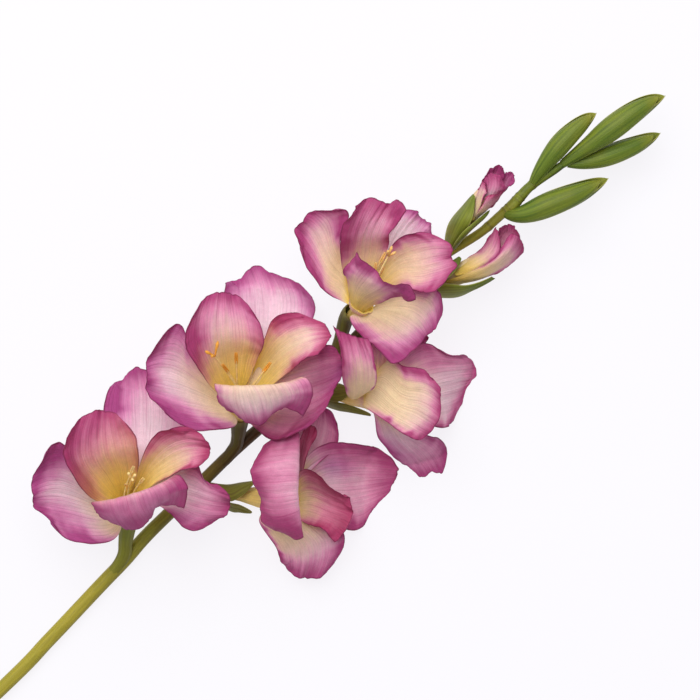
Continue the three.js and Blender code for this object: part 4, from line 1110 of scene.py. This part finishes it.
# The spathe leaves the stem's line and opens round the tube.
def makeSpathe(spathe):
    points = onSheet(spathe["line"])
    shares = np.linspace(0, 1, len(points))
    outer = list(zip(shares, spathe["radii"]))
    mouth = (1, outer[-1][1] - spatheBuild["wall"])
    profile = [(0, 0), (0, 1.6), *outer, mouth, *spatheBuild["hollow"]]
    count = len(profile) - 1

    def lips(u, v):
        top = smoothStep(len(outer) - 1, len(outer) + 1, v * count)
        body = smoothStep(1, 4, v * count) * (1 - top)
        ribs = 0.03 * np.cos(2 * math.pi * spatheBuild["ribs"] * u)
        return 1 + (ribs - 0.1 * smoothStep(0.9, 1, seamOf(u))) * body

    piece, u, v = sweptPiece("spathe", curveOf(points), profile, 48, 6 * count, lips)
    place = np.clip(v * count - 1, 0, len(outer)) / len(outer)
    edge = 0.3 * smoothStep(0.8, 1, seamOf(u)) * smoothStep(0.2, 0.5, place)
    # darker along one side of the spathe
    dark = 0.3 * np.maximum(-np.cos(2 * math.pi * u), 0)
    brown = np.clip(spathe["brown"] + edge + dark, 0, 1)
    olive = spathe["olive"] * (1 - 0.6 * place)
    pale = 0.15 * smoothStep(0.9, 1, place)
    paint(piece, "growth", olive, brown, pale)
    return piece


def bractGrowth(u, v):
    return 0.35 + 0.2 * v, 0.5 * (1 - 0.3 * v), 0.3 * sideEdge(u)


def makeNetBract(net, seed, growth):
    return makeBlade("bract", netShape(onSheet(net), bractBuild, seed), bractBuild, growth)


# A bloom's own threads take the place of these. The profiles hold shares of a line and radii.
stamenBuild = {
    # the foot's depth and the knob's radius, then how far out and how wide threads and style bend
    "threads": (-6, 1.5, 6, 2, 8, 1),
    "threadSeat": 0.8,
    "styleSeat": 0.6,
    "antherReach": 0.0046,
    "antherShift": 0.00034,
    "anther": [(0, 0), (0.04, 0.3), (0.3, 0.48), (0.7, 0.46), (0.95, 0.3), (1, 0)],
    "style": [(0, 0), (0, 0.6), (0.5, 0.5), (1, 0.5), (1, 0)],
    "arm": [(0, 0), (0.02, 0.42), (0.5, 0.6), (0.8, 0.85), (1, 0.25), (1, 0)],
    "armRise": 0.0012,
}


def makeStamens(bloom):
    centre, axis, top, right = throatFrame(bloom)
    build = stamenBuild

    def seat(depth, clock, radius):
        aside = math.cos(clock) * top + math.sin(clock) * right
        return centre + (depth * axis + radius * aside) / 1000

    pieces = []

    def add(points, profile, sides, rows, pollen):
        piece, _, v = sweptPiece("thread", curveOf(points), profile, sides, rows)
        share = bloom["pollen"] * pollen(v)
        paint(piece, "pollen", share, share, share)
        pieces.append(piece)

    threads = bloom.get("threads", build["threads"])
    foot, knob, bend, spread, styleBend, styleSpread = threads
    line = [seat(foot + shift, 0, 0) for shift in (-1, 0, 1)]
    add(line, [(0, 0), (0, knob), (1, knob), (1, 0)], 16, 6, np.zeros_like)
    for k, tip in enumerate(bloom["anthers"]):
        clock = (k - 1) * math.pi / 2.2
        start = seat(foot, clock, build["threadSeat"])
        points = np.array([start, seat(bend, clock, spread), onSheet(tip)])
        reach = np.linalg.norm(points[2] - points[0])
        headShare = 1 - min(build["antherReach"] / reach, 0.4)
        threadEnd = headShare + 0.03
        profile = [(0, 0), (0, 0.6), (0.5, 0.5), (threadEnd, 0.4), (threadEnd, 0)]
        add(points, profile, 10, 24, lambda v: 0.25 * v)
        ahead = unit(alongCurve(points, np.array(1.0)) - alongCurve(points, np.array(0.9)))
        side = unit(np.cross(ahead, np.array([0.0, 0.0, 1.0])))
        head = alongCurve(points, np.array(headShare))
        for lobe in (-1, 1):
            shift = side * lobe * build["antherShift"]
            line = [head + shift, (head + points[2]) / 2 + shift * 1.3, points[2] + shift]
            add(line, build["anther"], 10, 20, np.ones_like)
    tips = [onSheet(tip) for tip in bloom["stigmas"]]
    fork = sum(tips) / 3 * 0.88 + centre * 0.12
    styleFoot = seat(foot, math.pi, build["styleSeat"])
    style = np.array([styleFoot, seat(styleBend, math.pi, styleSpread), fork])
    add(style, build["style"], 10, 24, lambda v: smoothStep(0.5, 1, v) * 0.6)
    for tip in tips:
        middle = (fork * 0.5 + tip * 0.5) + np.array([0, 0, build["armRise"]])
        add([fork, middle, tip], build["arm"], 10, 18, np.ones_like)
    return pieces


for bloomIndex, bloom in enumerate(blooms):
    tepals = []
    for k, tepal in enumerate(bloom["tepals"]):
        seed = seeds["tepalStep"] * bloomIndex + k + seeds["tepals"]
        tepals.append(makeTepal(tepalSurface(bloom, tepal, seed), tepal, seed, tepalBuild))
    tepals.append(makeTube(bloom))
    whole = joined(bloom["name"] + "Tepals", tepals)
    finishPiece(whole, tepalSkin, [bloom["name"]])
    threads = joined(bloom["name"] + "Stamens", makeStamens(bloom))
    finishPiece(threads, stamenSkin, [bloom["stamens"]], 50)
    print(bloom["name"], "made")

stem = {
    "cutEndX": -350,
    "plainEndX": -230,
    "y": -7.5,
    "radius": 3.5,
    "line": [
        (0, 690, 3.6, 3.5), (50, 639, 3.7, 3.5), (100, 586, 3.9, 3.5), (125, 560, 4.2, 3.5),
        (150, 532, 4.8, 3.4), (200, 484, 6.8, 3.2), (236, 449, 8.8, 3.1), (285, 406, 11, 3),
        (322, 371, 12.6, 3), (356, 337, 14, 2.8), (388, 303, 15.4, 2.7), (417, 275, 16.8, 2.5),
        (448, 253, 18.3, 2.4), (480, 233, 19.8, 2.3), (501, 215, 21, 2.4), (512, 206, 21.5, 3),
        (521, 196, 22, 2.7), (532, 185, 22.4, 2.4), (556, 169, 23.4, 2.1), (572, 158, 24.1, 1.3),
    ],
    "sides": 28,
    "rows": 420,
    "joints": (0.33, 0.485, 0.6, 0.73, 0.775, 0.793, 0.835, 0.853, 0.905),
    "jointSwell": 0.22,
    "jointReach": 0.0035,
    "ribs": 9,
    "ribSize": 0.012,
}


def makeStem():
    plain = [(stem[end], stem["y"], stem["radius"]) for end in ("cutEndX", "plainEndX")]
    points = np.array([*(np.array(plain) / 1000), *[onSheet(row[:3]) for row in stem["line"]]])
    stemRadii = np.array([stem["radius"], stem["radius"], *[row[3] for row in stem["line"]]])
    last = len(points) - 1
    rows = stem["rows"]
    inner = np.linspace(0, 1, rows - 3)
    radii = np.interp(inner, np.arange(last + 1) / last, stemRadii)
    # shallow swellings where a leaf or bract has its joint
    for place in stem["joints"]:
        bulge = np.exp(-(((inner - place) / stem["jointReach"]) ** 2))
        radii = radii + stem["jointSwell"] * bulge
    profile = [(0, 0), (0, 1.2), (0, stemRadii[0] - 0.25), *zip(inner, radii), (1, 0)]

    def ribs(u, v):
        wave = stem["ribSize"] * np.cos(2 * math.pi * stem["ribs"] * u)
        return 1 + wave * smoothStep(0.01, 0.02, v)

    sides, cuts = stem["sides"], len(profile) - 1
    piece, u, v = sweptPiece("stemCore", curveOf(points), profile, sides, cuts, ribs)
    place, share = placesOf(profile, v)
    olive = 1 - smoothStep(0.16, 0.3, share) * 0.35 - 0.55 * smoothStep(0.7, 0.95, share)
    brown = 0.95 * smoothStep(0.26, 0.4, share) * (1 - smoothStep(0.56, 0.68, share))
    # browner along one side of the stem, from a little way above the cut end
    brown += 0.25 * np.maximum(-np.cos(2 * math.pi * u), 0) * smoothStep(0.12, 0.2, share)
    for joint in stem["joints"]:
        brown += 0.5 * np.exp(-(((share - joint - 0.003) / 0.0022) ** 2))
    brown = np.clip(brown, 0, 1)
    pale = 1 - smoothStep(1.2, 2.2, place)
    paint(piece, "growth", olive, brown, pale)
    return piece


finishPiece(joined("stemSkinned", [makeStem()]), stemSkin, ["stem"], 50)
bractPieces = []
for bloom in blooms:
    if "spathe" in bloom:
        bractPieces.append(makeSpathe(bloom["spathe"]))
    for k, net in enumerate(bloom.get("bractNets", ())):
        bractPieces.append(makeNetBract(net, seeds["bracts"] + k, bractGrowth))
finishPiece(joined("bloomBracts", bractPieces), bractSkin, ["stem"], 50)
print("stem made")

greenBuds = [
    {
        "node": "green_bud_1",
        "radius": 6,
        "line": [(506, 213, 21.5), (523, 214, 23), (550, 204, 24.5), (581, 191.5, 26), (608, 177, 26)],
    },
    {
        "node": "green_bud_2",
        "radius": 5,
        "line": [(532, 184, 22.8), (543, 166, 25), (560, 144.5, 27), (579, 126, 28), (596, 112, 28)],
    },
    {
        "node": "green_bud_3",
        "radius": 5,
        "line": [(567, 163.5, 22.6), (588, 161.5, 21), (612, 154, 20.5), (638, 144, 20), (660, 132, 20)],
    },
    {
        "node": "green_bud_4",
        "radius": 5.8,
        "line": [(562, 164, 23.6), (589, 145, 26), (614, 126.5, 27.5), (641, 107.5, 28), (665, 94.5, 28)],
    },
]
budBuild = {
    "thickness": 0.0007,
    "columns": 30,
    "rows": 44,
    "swell": (0.3, 0.68, 1, 0.82, 0.22),
    "core": [(0, 0), (0, 0.12), (0.1, 0.3), (0.25, 0.62), (0.5, 0.7), (0.8, 0.3), (0.86, 0)],
    # each wrap's facing round the bud in degrees, its start and its end
    "wraps": [(60, 0.0, 0.93), (-120, 0.02, 1)],
    "wrap": {
        "spread": 100, "tipSpread": 4, "pointed": 14, "slant": 0.5, "ribs": 0.08, "ribCount": 11,
    },
}


def budGrowth(u, v):
    return 0.05 + 0.3 * smoothStep(0.75, 1, v), 0, 0.5 * sideEdge(u)


def makeGreenBud(bud):
    curve = curveOf(onSheet(bud["line"]))
    radius = bud["radius"]
    profile = [(share, size * radius) for share, size in budBuild["core"]]
    core, u, v = sweptPiece("budCore", curve, profile, 16, 20)
    paint(core, "growth", *budGrowth(u, v))
    radii = [share * radius for share in budBuild["swell"]]
    pieces = [core]
    for facing, start, end in budBuild["wraps"]:
        wrap = {**budBuild["wrap"], "from": start, "to": end, "radii": radii, "facing": facing}
        shape = wrapShape(curve, wrap, budBuild["thickness"])
        pieces.append(makeBlade("wrap", shape, budBuild, budGrowth))
    return joined(bud["node"].replace("_", "") + "Bracts", pieces)


for bud in greenBuds:
    finishPiece(makeGreenBud(bud), budSkin, [bud["node"]], 50)
print("green buds made")


# A rolled tepal: a net of points, in rows from the base to the tip and from left to right in a row.
def rolledTepal(*net, **look):
    return {"net": net, "look": look}


openingBuds = [
    {
        "name": "openingBud1",
        "node": "opening_bud_1",
        "line": [(404, 288, 15.5), (428, 286, 18.5), (462, 273, 22), (488, 260, 25), (502, 250, 27)],
        "heart": [(0, 0), (0, 0.6), (0.1, 1), (0.25, 3.6), (0.55, 5.6), (0.8, 5), (0.98, 2.5), (1, 0)],
        "tepals": [
            rolledTepal(
                [(478, 261, 22), (486, 263, 21), (494, 264, 23)],
                [(492, 240, 25), (503, 243, 21), (514, 250, 24)],
                [(499, 232, 30), (509, 224, 27), (521, 235, 29)],
                left=0.4, right=0.4, tip=0.5, wash=0.4, cream=0.5, warm=0.5,
            ),
            rolledTepal(
                [(448, 275, 19), (452, 272, 25), (456, 276, 29)],
                [(467, 259, 22), (474, 262, 31), (481, 268, 33)],
                [(483, 246, 25), (490, 250, 34), (498, 256, 37)],
                [(495, 226, 30), (497, 229, 33), (500, 237, 36)],
                left=0.4, right=0.3, tip=0.5, wash=0.2, gold=0.45, cream=1, warm=0.6,
            ),
            rolledTepal(
                [(444, 281, 24), (448, 283, 24), (451, 284.5, 20.5)],
                [(474, 270, 34), (480, 274, 33), (482, 279, 24)],
                [(497, 256, 38), (505, 258, 37), (507, 267, 26)],
                [(507, 233, 36), (519, 236, 39), (526, 252, 30)],
                left=0.2, right=0.25, tip=0.42, wash=0.12, gold=0.5, cream=1, warm=0.5,
                darkAt=[(0.4, 0.93, 0.12, 0.5)],
            ),
        ],
        "bracts": [
            [
                [(403, 284.5, 15), (404, 284.5, 17.2), (406, 286.5, 18.2)],
                [(429, 274, 15), (434, 272.5, 26), (440, 281, 30)],
                [(449, 262.5, 19.5), (451.5, 266, 28), (453.5, 273, 32)],
                [(459, 256.5, 25), (460, 257, 26), (461.5, 259, 27)],
            ],
            [
                [(407, 287.5, 18.2), (407.5, 290, 17), (406, 291.5, 15)],
                [(447, 284, 30), (450, 292, 27), (450, 298, 19)],
                [(468, 285, 30), (472, 288, 27), (474, 290, 22)],
                [(492, 276.5, 27), (493, 277.5, 26), (495, 278.5, 25)],
            ],
        ],
    },
    {
        "name": "openingBud2",
        "node": "opening_bud_2",
        "line": [(449, 250, 18), (457, 233, 23), (469, 215, 25), (482, 199, 26), (492, 188, 27)],
        "heart": [
            (0, 0), (0, 0.6), (0.15, 1.2), (0.3, 3.4), (0.55, 4.8), (0.8, 5), (0.98, 2.5), (1, 0),
        ],
        "tepals": [
            rolledTepal(
                [(475, 203, 24), (481, 201, 22), (488, 202, 24)],
                [(481, 184, 27), (491, 183, 23), (500, 186, 25)],
                [(486, 175, 30), (497, 165, 28), (506, 171, 30)],
                left=0.5, right=0.5, tip=0.6, wash=0.5, cream=0.2, warm=0.3,
            ),
            rolledTepal(
                [(484, 204, 24), (488, 204, 23), (493, 202, 25)],
                [(495, 189, 26), (501, 190, 24), (507, 189, 28)],
                [(505, 175, 29), (511.5, 171.5, 27), (516, 181, 29)],
                left=0.4, right=0.4, tip=0.5, wash=0.45, cream=0.2, warm=0.2,
            ),
            rolledTepal(
                [(476, 208, 28), (483, 206, 30.5), (490, 204, 28.5)],
                [(483, 191, 32), (493, 189, 37), (504, 191, 33)],
                [(484, 178, 33), (493, 173, 36), (502, 179, 33)],
                left=0.5, right=0.5, tip=0.6, wash=0.5, cream=0.3, warm=0.5,
            ),
            rolledTepal(
                [(466, 224, 23), (470, 221, 29), (474, 220, 31)],
                [(473, 203, 25), (477, 201, 33), (483, 200, 37)],
                [(483, 182, 30), (484.5, 182, 34), (487, 188, 38)],
                left=0.3, right=0.1, tip=0.35, wash=0.15, cream=1, warm=0.7,
            ),
            rolledTepal(
                [(470, 221, 28.5), (473, 221.5, 28), (475, 219.5, 25)],
                [(481, 207, 37), (486, 207, 35), (492, 206, 26)],
                [(487, 194, 38), (498, 193, 38), (509, 186, 29)],
                left=0.15, right=0.4, tip=0.5, wash=0.3, cream=0.9, warm=0.8,
            ),
        ],
        "bracts": [
            [
                [(445.5, 252, 18), (447.5, 250.5, 20), (450, 250, 20.3)],
                [(448, 225, 22), (459, 223, 33), (467, 228, 34)],
                [(464, 204, 25), (469, 206, 33), (473, 215, 36)],
                [(473.5, 194, 30), (474, 195, 31), (475, 197, 32)],
            ],
            [
                [(450.5, 250.5, 20.3), (452.5, 251.5, 19.5), (453.5, 251, 18)],
                [(461, 234, 34), (467, 234, 33), (471, 228, 24)],
                [(473, 223, 36), (480, 221, 33.5), (485, 217.5, 27)],
                [(487.5, 211, 30.5), (488.5, 210.8, 29.5), (489.5, 210, 28.5)],
            ],
        ],
    },
]
budTepalBuild = {
    **tepalBuild,
    "columns": 30,
    "rows": 34,
    "frill": 0.5,
    "ruffle": 0.3,
    "pleat": 0.15,
    "roundness": 0.16,
}


def makeBudHeart(bud):
    curve = curveOf(onSheet(bud["line"]))
    piece, u, v = sweptPiece("budHeart", curve, bud["heart"], 24, 36)
    pink = 0.5 * smoothStep(0.6, 1, v)
    gold = 0.35 * (1 - smoothStep(0.3, 0.8, v))
    paint(piece, "blush", pink, gold, 1)
    paint(piece, "tintAndShade", 0.6, 0, 0)
    return piece


def budBractGrowth(u, v):
    return 0.3 - 0.2 * v, 0.15 * (1 - v), 0.45 * sideEdge(u)


budBracts = []
for budIndex, bud in enumerate(openingBuds):
    tepals = [makeBudHeart(bud)]
    for k, tepal in enumerate(bud["tepals"]):
        seed = seeds["budTepals"] + seeds["budStep"] * budIndex + k
        shape = netShape(onSheet(tepal["net"]), budTepalBuild, seed)
        tepals.append(makeTepal(shape, tepal, seed, budTepalBuild))
    whole = joined(bud["name"] + "Tepals", tepals)
    finishPiece(whole, tepalSkin, [bud["node"]])
    for k, net in enumerate(bud["bracts"]):
        seed = seeds["budBracts"] + budIndex + k
        budBracts.append(makeNetBract(net, seed, budBractGrowth))
finishPiece(joined("openingBudBracts", budBracts), budSkin, ["stem"], 50)
print("opening buds made")

studio = {
    "tableSize": 8,
    "tableColour": (0.12, 0.12, 0.125, 1),
    "tableTone": tone(253, 251, 255),
    "tableGlow": 0.86,
    "keyPower": 34,
    "keySize": 1.6,
    "fill": 0.44,
    "fillTone": (1, 0.99, 1, 1),
    "keyPlace": (0.5, 0.75, 1.5),
    "keyAim": (0.14, 0.0, 0.03),
    "eye": (0.148, 0.004, 1.5),
    "focal": 152.23,
}


def makeStudio():
    bpy.ops.object.select_all(action="DESELECT")
    bpy.ops.mesh.primitive_plane_add(size=studio["tableSize"], location=(0, 0, 0))
    table = bpy.context.object
    table.name = "table"
    material, _, shader = newMaterial("tableTop", roughness=0.9, specular=0.0)
    shader.inputs["Base Color"].default_value = studio["tableColour"]
    shader.inputs["Emission Color"].default_value = studio["tableTone"]
    shader.inputs["Emission Strength"].default_value = studio["tableGlow"]
    table.data.materials.append(material)
    key = bpy.data.lights.new("keyLight", "AREA")
    key.energy = studio["keyPower"]
    key.size = studio["keySize"]
    lamp = bpy.data.objects.new("keyLight", key)
    bpy.context.collection.objects.link(lamp)
    lamp.location = studio["keyPlace"]
    direction = np.array(studio["keyAim"]) - np.array(lamp.location)
    lamp.rotation_euler = (
        math.atan2(math.hypot(direction[0], direction[1]), -direction[2]),
        0,
        math.atan2(direction[1], direction[0]) - math.pi / 2,
    )
    world = bpy.data.worlds.new("studioAir")
    world.use_nodes = True
    background = world.node_tree.nodes["Background"]
    background.inputs[0].default_value = studio["fillTone"]
    background.inputs[1].default_value = studio["fill"]
    bpy.context.scene.world = world
    camera = bpy.data.cameras.new("camera")
    camera.lens = studio["focal"]
    camera.sensor_width = 36
    camera.clip_end = 20
    seat = bpy.data.objects.new("camera", camera)
    bpy.context.collection.objects.link(seat)
    seat.location = studio["eye"]
    seat.rotation_euler = (0, 0, -sheet["turn"])
    bpy.context.scene.camera = seat
    bpy.context.scene.view_settings.view_transform = "Standard"


makeStudio()
print("studio made")
